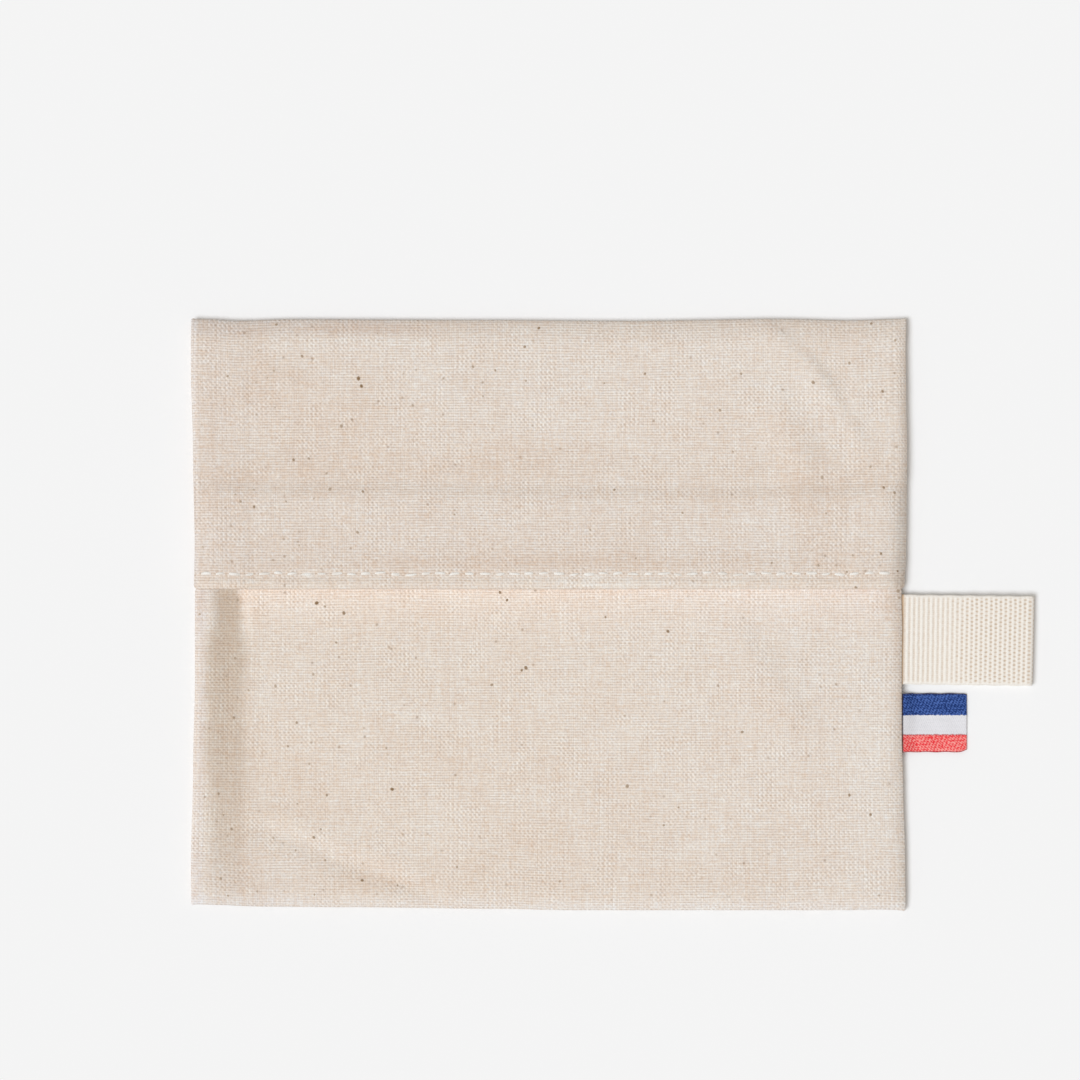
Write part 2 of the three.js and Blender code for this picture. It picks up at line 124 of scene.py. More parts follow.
PANEL_PAINTED_SHADES = [
    (-42, -27.5, 9, 5, -0.025), (-40, -41.5, 8, 2, -0.03), (-28, -45, 6, 1.6, -0.04),
    (1, -43, 9, 5, -0.02), (55.5, -25, 4, 8, 0.045), (58, 3, 4, 6, -0.05), (-51, -43, 4, 4, -0.05),
    (-46, -30, 5, 4, -0.03), (-41, -33.5, 7, 1.5, -0.035), (-29, -20.5, 3, 3, -0.04),
    (-34, -8.5, 2, 2, -0.04), (-27, -9.5, 3, 1.6, -0.035), (-17, -24, 3, 3, -0.04),
    (-13, -1.5, 6, 1.6, -0.03), (-1, -37, 7, 3, -0.05), (8, -29.5, 4, 2.5, -0.045),
    (-13, -43, 2.5, 3, -0.05), (27, -44.5, 8, 2.5, -0.06), (47, -42, 3, 4, -0.045),
    (48, -33, 3, 2.5, -0.035), (38, -15.5, 4, 2.5, -0.06), (55, -10, 5, 4, 0.03),
    (-58, -36, 2, 9, 0.03), (18, -5, 7, 3, 0.025), (41, -3, 2.5, 4, 0.03),
    (-19.5, -6, 1.6, 4, 0.03), (47, 1, 2.5, 2.5, -0.04), (-28, -45, 28, 5, -0.012),
    (-22, 0, 22, 4, -0.02), (56, -22, 3.5, 16, 0.03), (12, -36, 5, 4, -0.03),
    (-10, -28, 5, 4, -0.025), (43, -19, 4, 3, -0.035), (17, -17, 9, 12, 0.012),
    (-59.8, 2.5, 1.2, 3, -0.08), (-58, -9, 1.5, 6, 0.03), (-56.8, -2.6, 1.6, 1.8, 0.07),
    (-52, -4.5, 1.2, 2.5, 0.05), (-58, -13, 1.4, 3, 0.03), (43.5, -13.8, 2, 1.3, 0.04),
    (40.5, -17, 1.8, 1, -0.04), (55.5, -21, 2, 1.5, -0.045), (55, -31, 2, 2, -0.035),
    (22.5, -39, 2.5, 1.5, -0.035), (38.5, -39, 1.5, 1.5, -0.03), (56, -36.5, 3, 2, 0.03),
    (-28, -46.3, 22, 1.2, -0.05), (-53.5, -33, 1.5, 3, -0.05), (-57.7, -22, 1.4, 3, 0.03),
    (56, 3, 2.5, 2, 0.03), (52.5, -2.5, 3, 2.5, -0.03), (33, -9, 3, 3, -0.03),
    (45, -26, 4, 3, -0.03), (-30, -27, 2.5, 4, -0.025), (4, -14, 2, 3, -0.03),
    (8.5, -26, 1.5, 3, -0.025), (-37.3, -30.5, 1.2, 1, -0.045), (33, -46, 3, 1.5, -0.03),
    (45, -4, 5, 2.5, 0.03), (-7, -12, 3, 3, 0.02), (16, -23, 3, 2, 0.02), (-17, -41, 3, 1.5, 0.03),
    (-45, -44, 3, 1.5, 0.035), (-49, -38.5, 2, 1.5, 0.03), (58.8, 2, 1.2, 2.5, -0.09),
    (59.7, -6, 0.7, 5, -0.07), (-54.5, 1.5, 1.5, 2.5, -0.02), (-49.5, 0.8, 1.2, 1.5, -0.04),
    (-50, 1.5, 1, 2, -0.03), (-52.5, 2.6, 0.9, 2, -0.1), (-59.9, 2.6, 0.8, 1.5, -0.04),
]

# Slight waves all over the cloth
RIPPLE = {
    "rise": 0.05, "length_x": 9, "start_x": 0.6, "length_y": 11, "start_y": -0.4,
    "slanted_rise": 0.04, "slant": 1.7, "slanted_length": 13,
}

# The hollow along the left side of the lower panel
HOLLOW_SIDES = (2.0, 6.4, 8.0, 10.4)  # crest, floor, foot and shoulder, measured in from that side
HOLLOW_DEPTH = 0.38
HOLLOW_START = 1.5  # how far below the hem's edge it is full
HOLLOW_LOWER_SHARE = 0.6  # how much of its depth is left at the lower fold

# The flap's hem, thickest beside its edge, and how the flap sinks past the panel's end
HEM_SWELL = 0.42
HEM_EDGE_SHARE = 0.45  # how much of the swell there is at the very edge
HEM_CREST = 1.2  # from the edge to the crest of the swell
HEM_RUN_OUT = 6.5
CHANNEL = 0.24  # depth of the groove that the stitching pulls in
CHANNEL_LINE = 6.45
CHANNEL_HALF = 0.7
SINK = 1.1
SINK_HALF = 1.6  # the flap drops part of the way this far either side of the panel's end
SINK_SHARE = 0.62
SINK_RUN_OUT = 9  # and the rest over this much more
SINK_AT_SEAM = 0.7
SINK_LINE = [
    (-61, 0), (-51, -0.3), (-44, -0.5), (-30, -0.4), (-8, -0.9), (30, -1.2), (51, -0.7), (61, 0.1),
]
FOLD_SLOPE = 0.5  # how much lower the flap runs into the upper fold, from FOLD_SLOPE_START on
FOLD_SLOPE_START = 36
ALLOWANCE_STEP = 0.1  # how far the allowance inside lifts the flap, and over what width it runs out
ALLOWANCE_RUN_OUT = 0.9

# How the cloth turns: the layers of a hem, the two big folds and the seam's roll
PLY = 0.45  # from layer to layer in a hem
HEM_RAW_END = 0.55  # from a hem's edge to its turned-in raw end
UPPER_REACH = 3.8  # how far the upper fold's round part reaches along the pouch
LOWER_REACH = 3.0
LEFT_ROLL = 1.5  # how far in a seam's roll begins
RIGHT_ROLL = {"flap_over_panel": 3.4, "flap": 2.0, "panel": 2.7}
ROLL_EDGE = 0.2  # where the middle of the cloth turns
ROLL_POWER = {"left": 1.0, "right": 1.6}  # 1 for a round roll, 2 for one that slopes evenly
TUCK_RADIUS = 0.28
TUCKED_CLOTH = 0.12  # the allowances are drawn thin, pressed between the layers

# How the seams hold the cloth
LIP_ROOM = 0.21  # half the room between a seam's two lips
LABEL_ROOM = [(-11.9, 3.4, 0.5), (-23.45, -13.35, 0.36)]  # a label's lower and upper end, and its room
LABEL_ROOM_EASE = 1.4  # how far beyond a label the lips close
SEAM_LEVEL = {"panel": 0.95, "overlap": 1.04, "flap": 1.25, "labels": 1.0}
LABEL_LEVEL_SPAN = (-26, -23, 3.4, 4.8)
FLAP_OVERHANG = 0.15  # how far the flap stands out over the panel at its edge, and where that ends
OVERHANG_END = 13
PANEL_SET_BACK = 0.6  # how far the panel's edge lies further in under the flap
HEM_SET_BACK = 0.93  # how much further in, and lower, the inner layers of a hem are for their depth
HEM_LIP_DROP = 0.31
FOLD_PULL = 0.55  # how far the seam draws the two folds in along the pouch, and more with its depth
FOLD_PULL_SLOPE = 0.06
FOLD_CORNER = 0.2  # how far the folds' corners still stand out, and over what width
FOLD_CORNER_WIDTH = 1.5

# The cloth's mesh: where its zones across begin, measured in from a side, the longest steps between
# its rows and columns, and the names of its two front layers
FLAT_START = 3.5
SEAM_ZONE = 11
CREASED_ZONE = 23
ALLOWANCE_COLUMNS = (1.2, 2.4, 4.0, 5.8, 7.4, ALLOWANCE)
STEP = {
    "hem": 1.1, "swell": 0.35, "flap": 1.3, "sink": 0.4, "upper_flap": 0.9, "back": 1.7, "panel": 0.9,
    "under_edge": 0.5, "under_flap": 1.5, "near_seam": 0.6, "middle": 1.1,
}
FLAP = True
PANEL = False


def smooth(x, start, end):
    """0 up to start, 1 from end on, and a soft step between them."""
    share = np.clip((x - start) / (end - start), 0, 1)
    return share * share * (3 - 2 * share)


def plateau(x, start, full, fall, end):
    """0 up to start and from end on, 1 from full to fall, and soft steps between them."""
    return smooth(x, start, full) * (1 - smooth(x, fall, end))


def between(a, b, share):
    return a + (b - a) * share


def strays(table, place):
    """How far an edge strays outward at a place along it."""
    at = np.array([row[0] for row in table], float)
    out = np.array([row[1] for row in table], float)
    place = np.clip(place, at[0], at[-1])
    after = np.clip(np.searchsorted(at, place, side="right"), 1, len(at) - 1)
    return between(out[after - 1], out[after], smooth(place, at[after - 1], at[after]))


def pushed(table, inward, place):
    """How far an edge's straying moves a place that lies this far in from it."""
    return (1 - smooth(inward, 0, EDGE_REACH)) * strays(table, place)


def on_cloth(s, t):
    """Moves places of the plain rectangle to where the uneven outline takes them."""
    x = s + pushed(RIGHT_EDGE, HALF_WIDTH - s, t) - pushed(LEFT_EDGE, HALF_WIDTH + s, t)
    y = t + pushed(UPPER_EDGE, HALF_HEIGHT - t, s) - pushed(LOWER_EDGE, HALF_HEIGHT + t, s)
    return x, y


def crease_height(creases, s, t):
    height = np.zeros(np.broadcast(s, t).shape)
    for x0, y0, x1, y1, left, right, rise in creases:
        length = math.hypot(x1 - x0, y1 - y0)
        along = ((s - x0) * (x1 - x0) + (t - y0) * (y1 - y0)) / length
        aside = ((s - x0) * (y1 - y0) - (t - y0) * (x1 - x0)) / length
        past = np.maximum(0, np.maximum(-along, along - length))
        half = np.where(aside > 0, right, left)
        height += rise * np.exp(-((aside / half) ** 2) - (past / CREASE_RUN_OUT) ** 2)
    return height


def shade(shades, s, t):
    """How much the painted light and shade lighten or darken the cloth at a place."""
    total = np.zeros(np.broadcast(s, t).shape)
    for x, y, half_width, half_height, amount in shades:
        total += amount * np.exp(-(((s - x) / half_width) ** 2) - ((t - y) / half_height) ** 2)
    return total


def ripple(s, t):
    crossed = np.sin(s / RIPPLE["length_x"] + RIPPLE["start_x"])
    crossed = crossed * np.cos(t / RIPPLE["length_y"] + RIPPLE["start_y"])
    slanted = np.sin((s + RIPPLE["slant"] * t) / RIPPLE["slanted_length"])
    return RIPPLE["rise"] * crossed + RIPPLE["slanted_rise"] * slanted


def hollow_depth(s, t):
    across = plateau(HALF_WIDTH + s, *HOLLOW_SIDES)
    below_hem = HEM_LINE - t
    down = np.clip(below_hem / (HALF_HEIGHT + HEM_LINE), 0, 1)
    share = smooth(below_hem, 0, HOLLOW_START) * between(1, HOLLOW_LOWER_SHARE, down)
    return HOLLOW_DEPTH * across * share


def pinch(s):
    """1 at the side seams and 0 from about half the allowance inward."""
    return 1 - smooth(HALF_WIDTH - np.abs(s), 0, PINCH_WIDTH)


def panel_top(s, t):
    """The panel's upper side without its relief, a little higher where a seam holds the labels."""
    bulk = plateau(t, *LABEL_BULK_SPAN) * (s > 0)
    return between(TWO_LAYERS, SEAM_HEIGHT + LABEL_BULK * bulk, pinch(s))


def panel_level(s, t):
    """Middle of the lower panel's thickness."""
    relief = crease_height(PANEL_CREASES, s, t) + ripple(s, t)
    return panel_top(s, t) + (1 - pinch(s)) * relief - hollow_depth(s, t) - CLOTH / 2


def flap_level(s, t):
    """Middle of the flap's upper layer."""
    end = PANEL_END + strays(SINK_LINE, s)
    sink = SINK_SHARE * smooth(t, end - SINK_HALF, end + SINK_HALF)
    sink = sink + (1 - SINK_SHARE) * smooth(t, end, end + SINK_RUN_OUT)
    drop = between(SINK, SINK_AT_SEAM, pinch(s))
    above_edge = t - HEM_LINE
    swell = HEM_SWELL * (1 - smooth(above_edge, HEM_CREST, HEM_CREST + HEM_RUN_OUT))
    swell = swell * between(HEM_EDGE_SHARE, 1, smooth(above_edge, 0, HEM_CREST))
    channel = CHANNEL * np.exp(-(((t - CHANNEL_LINE) / CHANNEL_HALF) ** 2))
    inward = HALF_WIDTH - np.abs(s)
    lifted = ALLOWANCE_STEP * (1 - smooth(inward, ALLOWANCE, ALLOWANCE + ALLOWANCE_RUN_OUT))
    relief = (1 - pinch(s)) * (crease_height(FLAP_CREASES, s, t) + ripple(s, t) + lifted)
    relief = relief - FOLD_SLOPE * smooth(t, FOLD_SLOPE_START, HALF_HEIGHT)
    return panel_top(s, t) + FLAP_OVER_PANEL - sink * drop + swell - channel + relief - CLOTH / 2


def overlap(t):
    """1 where the flap lies over the panel at the seams, 0 elsewhere."""
    return plateau(t, HEM_LINE - 0.5, HEM_LINE + 0.5, PANEL_END - 1, PANEL_END + 2)


def seam_room(side, t):
    """Half the room between a seam's lips."""
    room = np.full(np.shape(t), LIP_ROOM)
    if side > 0:
        for low, high, half in LABEL_ROOM:
            there = plateau(t, low - LABEL_ROOM_EASE, low, high, high + LABEL_ROOM_EASE)
            room = np.maximum(room, between(LIP_ROOM, half, there))
    return room


def seam_level(side, t):
    """Height of the seam line between the back's lip and the front's."""
    level = between(SEAM_LEVEL["panel"], SEAM_LEVEL["overlap"], overlap(t))
    level = between(level, SEAM_LEVEL["flap"], smooth(t, PANEL_END - 1, PANEL_END + 3))
    if side > 0:
        level = between(level, SEAM_LEVEL["labels"], plateau(t, *LABEL_LEVEL_SPAN))
    return level


def roll_reach(side, is_flap, t):
    """Where the seam's roll begins, measured in from the side."""
    if side < 0:
        return np.full(np.shape(t), LEFT_ROLL)
    beyond = smooth(t, PANEL_END - 2, PANEL_END + 2)
    flap = between(RIGHT_ROLL["flap_over_panel"], RIGHT_ROLL["flap"], beyond)
    return np.where(is_flap, flap, RIGHT_ROLL["panel"])


def roll_power(side):
    return ROLL_POWER["left"] if side < 0 else ROLL_POWER["right"]


def arc(count, start, end):
    """Angles from start to end, in degrees, without the first."""
    return np.radians(np.linspace(start, end, count + 1)[1:])


def steps(start, end, step):
    """Places from start to end, without the last, no further apart than step."""
    count = max(1, math.ceil(abs(end - start) / step))
    return list(np.linspace(start, end, count + 1)[:-1])


def hem_rows(edge, inward):
    """Rows of a double hem as (t, drop below the top layer): from the raw end, round the inner fold,
    along the lowest layer and round the edge. inward is 1 where the hem lies above its edge."""
    half = PLY / 2
    edge = edge + inward * CLOTH / 2
    inner = edge + inward * (HEM_DEPTH - half)
    outer = edge + inward * PLY
    rows = [(t, PLY) for t in steps(edge + inward * HEM_RAW_END, inner, STEP["hem"]) + [inner]]
    rows += [(inner + inward * half * math.sin(a), 1.5 * PLY - half * math.cos(a))
             for a in arc(4, 0, 180)]
    rows += [(t, 2 * PLY) for t in steps(inner, outer, STEP["hem"])[1:] + [outer]]
    rows += [(outer - inward * PLY * math.sin(a), PLY + PLY * math.cos(a)) for a in arc(6, 0, 180)]
    return rows


def strip_rows():
    """Rows along the whole strip, from the flap's raw end to the panel's, as arrays of one column:
    place t, drop below the layer's top, turn (0 faces up, pi faces down) and whether it is the flap."""
    fold_top = HALF_HEIGHT - CLOTH / 2 - UPPER_REACH
    fold_low = -HALF_HEIGHT + CLOTH / 2 + LOWER_REACH
    past_hem = HEM_LINE + HEM_DEPTH + 0.8
    rows = [(t, drop, 0.0, FLAP) for t, drop in hem_rows(HEM_LINE, 1)]
    flap = steps(rows[-1][0] + 0.3, past_hem, STEP["swell"])
    flap += steps(past_hem, PANEL_END - 2, STEP["flap"])
    flap += steps(PANEL_END - 2, PANEL_END + 3, STEP["sink"])
    flap += steps(PANEL_END + 3, fold_top, STEP["upper_flap"]) + [fold_top]
    rows += [(t, 0.0, 0.0, FLAP) for t in flap]
    rows += [(fold_top + UPPER_REACH * math.sin(a), 0.0, a, FLAP) for a in arc(18, 0, 180)]
    rows += [(t, 0.0, math.pi, FLAP) for t in steps(fold_top, 0, STEP["back"])[1:]]
    rows += [(t, 0.0, math.pi, PANEL) for t in steps(0, fold_low, STEP["back"]) + [fold_low]]
    rows += [(fold_low - LOWER_REACH * math.sin(a), 0.0, math.pi - a, PANEL) for a in arc(16, 0, 180)]
    panel = steps(fold_low, -1, STEP["panel"])[1:]
    panel += steps(-1, HEM_LINE + 1.5, STEP["under_edge"])
    panel += steps(HEM_LINE + 1.5, PANEL_END - PLY, STEP["under_flap"])
    rows += [(t, 0.0, 0.0, PANEL) for t in panel]
    rows += [(t, drop, 0.0, PANEL) for t, drop in reversed(hem_rows(PANEL_END, -1))]
    columns = [np.array(column)[:, None] for column in zip(*rows)]
    return dict(zip(("t", "drop", "turn", "is_flap"), columns))


def layer_level(rows, s):
    """Middle of the cloth at every row and at the places s across."""
    front = np.where(rows["is_flap"], flap_level(s, rows["t"]), panel_level(s, rows["t"]))
    return between(BACK_LEVEL, front - rows["drop"], (1 + np.cos(rows["turn"])) / 2)


def side_columns(rows, side):
    """The columns outside the flat cloth on one side: round the seam's roll, into the seam and along
    the allowance to its raw edge. Gives s, t and z, and how thick the cloth is there."""
    t = rows["t"]
    drop = rows["drop"]
    is_flap = rows["is_flap"]
    facing = np.cos(rows["turn"])
    folded = np.sin(rows["turn"])
    front = facing > 0
    shared = overlap(t)
    room = seam_room(side, t)
    room = np.where(is_flap & front, between(room, 0, shared), between(room, 2 * LIP_ROOM, shared))
    lip = seam_level(side, t) + room * facing - HEM_LIP_DROP * drop
    overhang = FLAP_OVERHANG * is_flap * front * shared * (1 - smooth(t, HEM_LINE, OVERHANG_END))
    set_back = PANEL_SET_BACK * ~is_flap * front * shared
    edge = ROLL_EDGE - overhang + set_back + HEM_SET_BACK * drop
    turning = lip + TUCK_RADIUS * facing
    reach = roll_reach(side, is_flap, t)
    start = layer_level(rows, side * (HALF_WIDTH - reach))
    roll = arc(8, 0, 90)
    rolled = turning + (start - turning) * np.cos(roll) ** roll_power(side)
    tuck = arc(4, 0, 90)
    tucked = lip + TUCK_RADIUS * facing * (1 - np.sin(tuck))
    depths = np.array(ALLOWANCE_COLUMNS)
    height = np.hstack([rolled, tucked, lip + 0 * depths])
    inward = np.hstack([reach - (reach - edge) * np.sin(roll), edge + TUCK_RADIUS * (1 - np.cos(tuck)),
                        edge + depths])
    pulled = np.concatenate([0 * roll, FOLD_PULL * np.sin(tuck), FOLD_PULL + FOLD_PULL_SLOPE * depths])
    corner = FOLD_CORNER * np.clip(1 - inward / FOLD_CORNER_WIDTH, 0, 1) ** 2
    along = t - np.sign(t) * (pulled - corner) * folded
    thick = np.full(inward.shape, CLOTH)
    thick[:, -depths.size - 1:] = TUCKED_CLOTH
    return side * (HALF_WIDTH - inward), along, height, thick


def body_columns():
    """Places across the flat cloth, closer together beside the seams and over the creases."""
    near = steps(FLAT_START, SEAM_ZONE, STEP["near_seam"])
    left = [place - HALF_WIDTH for place in near]
    middle = steps(SEAM_ZONE - HALF_WIDTH, HALF_WIDTH - CREASED_ZONE, STEP["middle"])
    middle += steps(HALF_WIDTH - CREASED_ZONE, HALF_WIDTH - SEAM_ZONE, STEP["near_seam"])
    right = [HALF_WIDTH - place for place in reversed(near)]
    return np.array(left + middle + [HALF_WIDTH - SEAM_ZONE] + right)


def run_length(points):
    """Distance along a line of points, from its first."""
    return np.concatenate([[0], np.cumsum(np.linalg.norm(np.diff(points, axis=0), axis=1))])


def new_mesh(name, points, faces, rounded=True):
    mesh = bpy.data.meshes.new(name)
    mesh.from_pydata((np.array(points) * MM).tolist(), [], faces)
    mesh.polygons.foreach_set("use_smooth", [rounded] * len(mesh.polygons))
    mesh.update()
    return mesh


def sheet_mesh(name, middle, thick, weave, place):
    """A closed mesh from the middle surface of a cloth, a grid of points, and its thickness. weave and
    place are kept at each point: where it is on the flat cloth, with its painted shade, and on the
    pouch."""
    normal = np.cross(np.gradient(middle, axis=1), np.gradient(middle, axis=0))
    normal /= np.linalg.norm(normal, axis=2, keepdims=True)
    half = normal * thick[..., None] / 2
    points = np.concatenate([(middle + half).reshape(-1, 3), (middle - half).reshape(-1, 3)])
    index = np.arange(thick.size).reshape(thick.shape)
    corners = index[:-1, :-1], index[:-1, 1:], index[1:, 1:], index[1:, :-1]
    skin = np.stack(corners, -1).reshape(-1, 4)
    rim = np.concatenate([index[0, :-1], index[:-1, -1], index[-1, :0:-1], index[:0:-1, 0]])
    below = rim + index.size
    wall = np.stack([rim, below, np.roll(below, -1), np.roll(rim, -1)], -1)
    mesh = new_mesh(name, points, np.concatenate([skin, skin[:, ::-1] + index.size, wall]).tolist())
    for label, values in (("weave", weave), ("place", place)):
        layer = mesh.attributes.new(label, "FLOAT_VECTOR", "POINT")
        both = np.concatenate([values.reshape(-1, 3)] * 2)
        layer.data.foreach_set("vector", both.astype(np.float32).ravel())
    return mesh


def add_piece(mesh, material):
    piece = bpy.data.objects.new(mesh.name, mesh)
    bpy.context.scene.collection.objects.link(piece)
    mesh.materials.append(material)
    return piece


def pouch_mesh():
    rows = strip_rows()
    s, t = np.broadcast_arrays(body_columns(), rows["t"])
    flat = (s, t, layer_level(rows, s), np.full(s.shape, CLOTH))
    left = side_columns(rows, -1)
    right = side_columns(rows, 1)
    s, t, z, thick = (np.hstack([a[:, ::-1], b, c]) for a, b, c in zip(left, flat, right))
    middle = np.stack([*on_cloth(s, t), z], -1)

    # Where each point is on the flat cloth, counted across from the middle of a row on the panel, with
    # its painted light and shade
    lying = (rows["turn"] == 0) & ~rows["is_flap"] & (rows["drop"] == 0)
    typical_row = int(np.argmin(np.abs(rows["t"] + 10) + 1000 * ~lying))
    side_count = left[0].shape[1]
    body = slice(side_count, -side_count)
    across = run_length(middle[typical_row])
    across -= np.interp(0, s[typical_row, body], across[body])
    along = run_length(middle[:, middle.shape[1] // 2])[:, None]
    painted_shade = np.where(rows["is_flap"], shade(FLAP_PAINTED_SHADES, s, t), shade(PANEL_PAINTED_SHADES, s, t))
    weave = np.stack(np.broadcast_arrays(across, along, painted_shade), -1)

    # And where on the pouch: 2 for the flap, 1 for the panel and 0 for the back
    layer = np.where(np.cos(rows["turn"]) > -0.5, np.where(rows["is_flap"], 2.0, 1.0), 0.0)
    place = np.stack(np.broadcast_arrays(s, t, layer), -1)
    return sheet_mesh("pouch", middle, thick, weave, place)


class Value:
    """A number, vector or colour that a material works out at each place, for sums between them."""

    def __init__(self, shader, socket):
        self.shader = shader
        self.socket = socket

    def __add__(self, other):
        return self.shader.math("ADD", self, other)

    def __sub__(self, other):
        return self.shader.math("SUBTRACT", self, other)

    def __rsub__(self, other):
        return self.shader.math("SUBTRACT", other, self)

    def __mul__(self, other):
        return self.shader.math("MULTIPLY", self, other)

    def __truediv__(self, other):
        return self.shader.math("DIVIDE", self, other)

    def __pow__(self, power):
        return self.shader.math("POWER", self, power)

    def __abs__(self):
        return self.shader.math("ABSOLUTE", self)

    __radd__ = __add__
    __rmul__ = __mul__

    def floor(self):
        return self.shader.math("FLOOR", self)

    def wave(self, turns=1.0, start=0.0):
        """A sine of this value times turns, its start in degrees."""
        return self.shader.math("SINE", self * (2 * math.pi * turns) + math.radians(start))

    def ramp(self, start, end, low=0.0, high=1.0, soft=True):
        """low up to start, high from end on, with a soft or straight step between them."""
        node = self.shader.node("MapRange")
        node.interpolation_type = "SMOOTHSTEP" if soft else "LINEAR"
        for value, socket in zip((self, start, end, low, high), node.inputs):
            self.shader.link(value, socket)
        return Value(self.shader, node.outputs[0])

    def swing(self, most, half=0.2):
        """From -most to most, as a noise goes from half below its middle to half above it."""
        return self.ramp(0.5 - half, 0.5 + half, -most, most, soft=False)

    def split(self):
        node = self.shader.node("SeparateXYZ")
        self.shader.link(self, node.inputs[0])
        return [Value(self.shader, socket) for socket in node.outputs]


class Shader:
    """A material and short ways to add its nodes. A method takes values or plain numbers."""

    def __init__(self, name):
        self.material = bpy.data.materials.new(name)
        self.material.use_nodes = True
        self.tree = self.material.node_tree
        self.surface = self.tree.nodes["Principled BSDF"]

    def node(self, kind):
        return self.tree.nodes.new("ShaderNode" + kind)

    def link(self, value, socket):
        if isinstance(value, Value):
            self.tree.links.new(value.socket, socket)
        else:
            socket.default_value = value

    def link_colour(self, colour, socket):
        self.link(colour if isinstance(colour, Value) else (*colour, 1), socket)

    def math(self, operation, *values):
        node = self.node("Math")
        node.operation = operation
        for value, socket in zip(values, node.inputs):
            self.link(value, socket)
        return Value(self, node.outputs[0])

    def largest(self, first, *others):
        for other in others:
            first = self.math("MAXIMUM", first, other)
        return first

    def attribute(self, name, output="Vector"):
        node = self.node("Attribute")
        node.attribute_name = name
        return Value(self, node.outputs[output])

    def vector(self, x, y, z=0.0):
        node = self.node("CombineXYZ")
        for value, socket in zip((x, y, z), node.inputs):
            self.link(value, socket)
        return Value(self, node.outputs[0])

    def noise(self, vector, scale, detail=2.0, roughness=0.5):
        node = self.node("TexNoise")
        self.link(vector, node.inputs["Vector"])
        node.inputs["Scale"].default_value = scale
        node.inputs["Detail"].default_value = detail
        node.inputs["Roughness"].default_value = roughness
        return Value(self, node.outputs[0])

    def mix(self, share, a, b, kind="MIX"):
        """Between two colours, each a value or red, green and blue."""
        node = self.node("Mix")
        node.data_type = "RGBA"
        node.blend_type = kind
        self.link(share, node.inputs[0])
        self.link_colour(a, node.inputs[6])
        self.link_colour(b, node.inputs[7])
        return Value(self, node.outputs[2])

    def tinted(self, colour, tint, amount):
        """A colour with its red, green and blue each times 1 + tint x amount."""
        factor = self.vector(*[amount * part + 1.0 for part in tint])
        return self.mix(1.0, colour, factor, "MULTIPLY")

    def bump(self, height, distance):
        node = self.node("Bump")
        node.inputs["Strength"].default_value = 1.0
        node.inputs["Distance"].default_value = distance * MM
        self.link(height, node.inputs["Height"])
        self.tree.links.new(node.outputs[0], self.surface.inputs["Normal"])

    def finish(self, colour, settings):
        """Gives the surface its colour, and the settings that are the same all over it."""
        self.link_colour(colour, self.surface.inputs["Base Color"])
        for name, value in settings.items():
            self.surface.inputs[name].default_value = value


# The calico's threads, its colour, and tints as shares of red, green and blue
WARP_PITCH = 0.375  # from thread to thread across the pouch
WEFT_PITCH = 0.443  # and along it
CREAM = (0.78, 0.685, 0.598)
SHADING = (0.72, 0.87, 1.0)  # how much of a thread's shade goes to each colour
BROAD_SHADING = (0.46, 0.92, 1.27)  # and of the shade of whole threads and wider patches
WARMTH = (0.4, 0.0, -0.6)
BAND_COLOUR = (0.775, 0.725, 0.67)  # share of the cloth's colour that is left in the shaded band
# painted warm light bounced onto the panel just below the hem
PAINTED_WARM_LIGHT = (0.13, 0.105, 0.095)
COOLER = (-0.007, 0.004, 0.021)
# painted cool light where the edges face the lamp: the flap's left edge, the lower fold and the panel's
# left side
PAINTED_COOL_LIGHT = (0.0, 0.03, 0.07)
PAINTED_LIT_SIDE = (-0.02, -0.015, 0.015)
SEED_SPOT = (0.30, 0.19, 0.11)
HOLE_GAP = 0.08  # from the end of a stitch to the middle of the needle's hole


def thread_counts(shader, flat):
    """Numbers of warp and weft threads up to a place, packed a little closer here than there."""
    across, along, _ = flat.split()
    bend_x = shader.noise(flat, 0.03)
    bend_y = shader.noise(shader.vector(along, across, 40.0), 0.03)
    packed_x = shader.noise(shader.vector(across, along * 0.1, 20.0), 0.25)
    packed_y = shader.noise(shader.vector(across * 0.1, along, 30.0), 0.25)
    warp = across / WARP_PITCH + 1.5 * bend_x + 0.5 * packed_x
    weft = along / WEFT_PITCH + 1.5 * bend_y + 0.7 * packed_y
    return warp, weft


def plain_weave(shader, warp, weft):
    """How light a plain weave is, around 0, with painted light and shade: its rows and columns with the
    gaps between them partly in painted shade, the slopes where threads dive under each other painted
    lit on one side and shaded on the other, and the stouter thread of each warp pair. Rows stand out in
    some patches and dots in others."""
    row = abs(weft.wave(0.5)) ** 0.6
    column = abs(warp.wave(0.5)) ** 0.6
    rising = (warp + weft).wave(0.5, -8)
    falling = (warp - weft).wave(0.5, 8)
    stouter = warp.wave(0.5, -54)
    patches = shader.noise(shader.vector(warp, weft, 5.0), 0.11, 2.0, 0.6)
    dotted = patches.ramp(0.42, 0.68, 0.4, 2.1, soft=False)
    lined = patches.ramp(0.42, 0.68, 1.15, 0.8, soft=False)
    lined *= shader.noise(shader.vector(warp, weft, 60.0), 0.09).ramp(0.35, 0.65, 0.8, 1.2)
    ribbed = shader.noise(shader.vector(warp, weft * 0.6, 80.0), 0.1).ramp(0.35, 0.65, 0.02, 0.115)
    dots = 0.051 * rising + 0.033 * falling + 0.037 * stouter
    return (0.235 * row - 0.172) * lined + (column - 0.73) * ribbed + dots * dotted


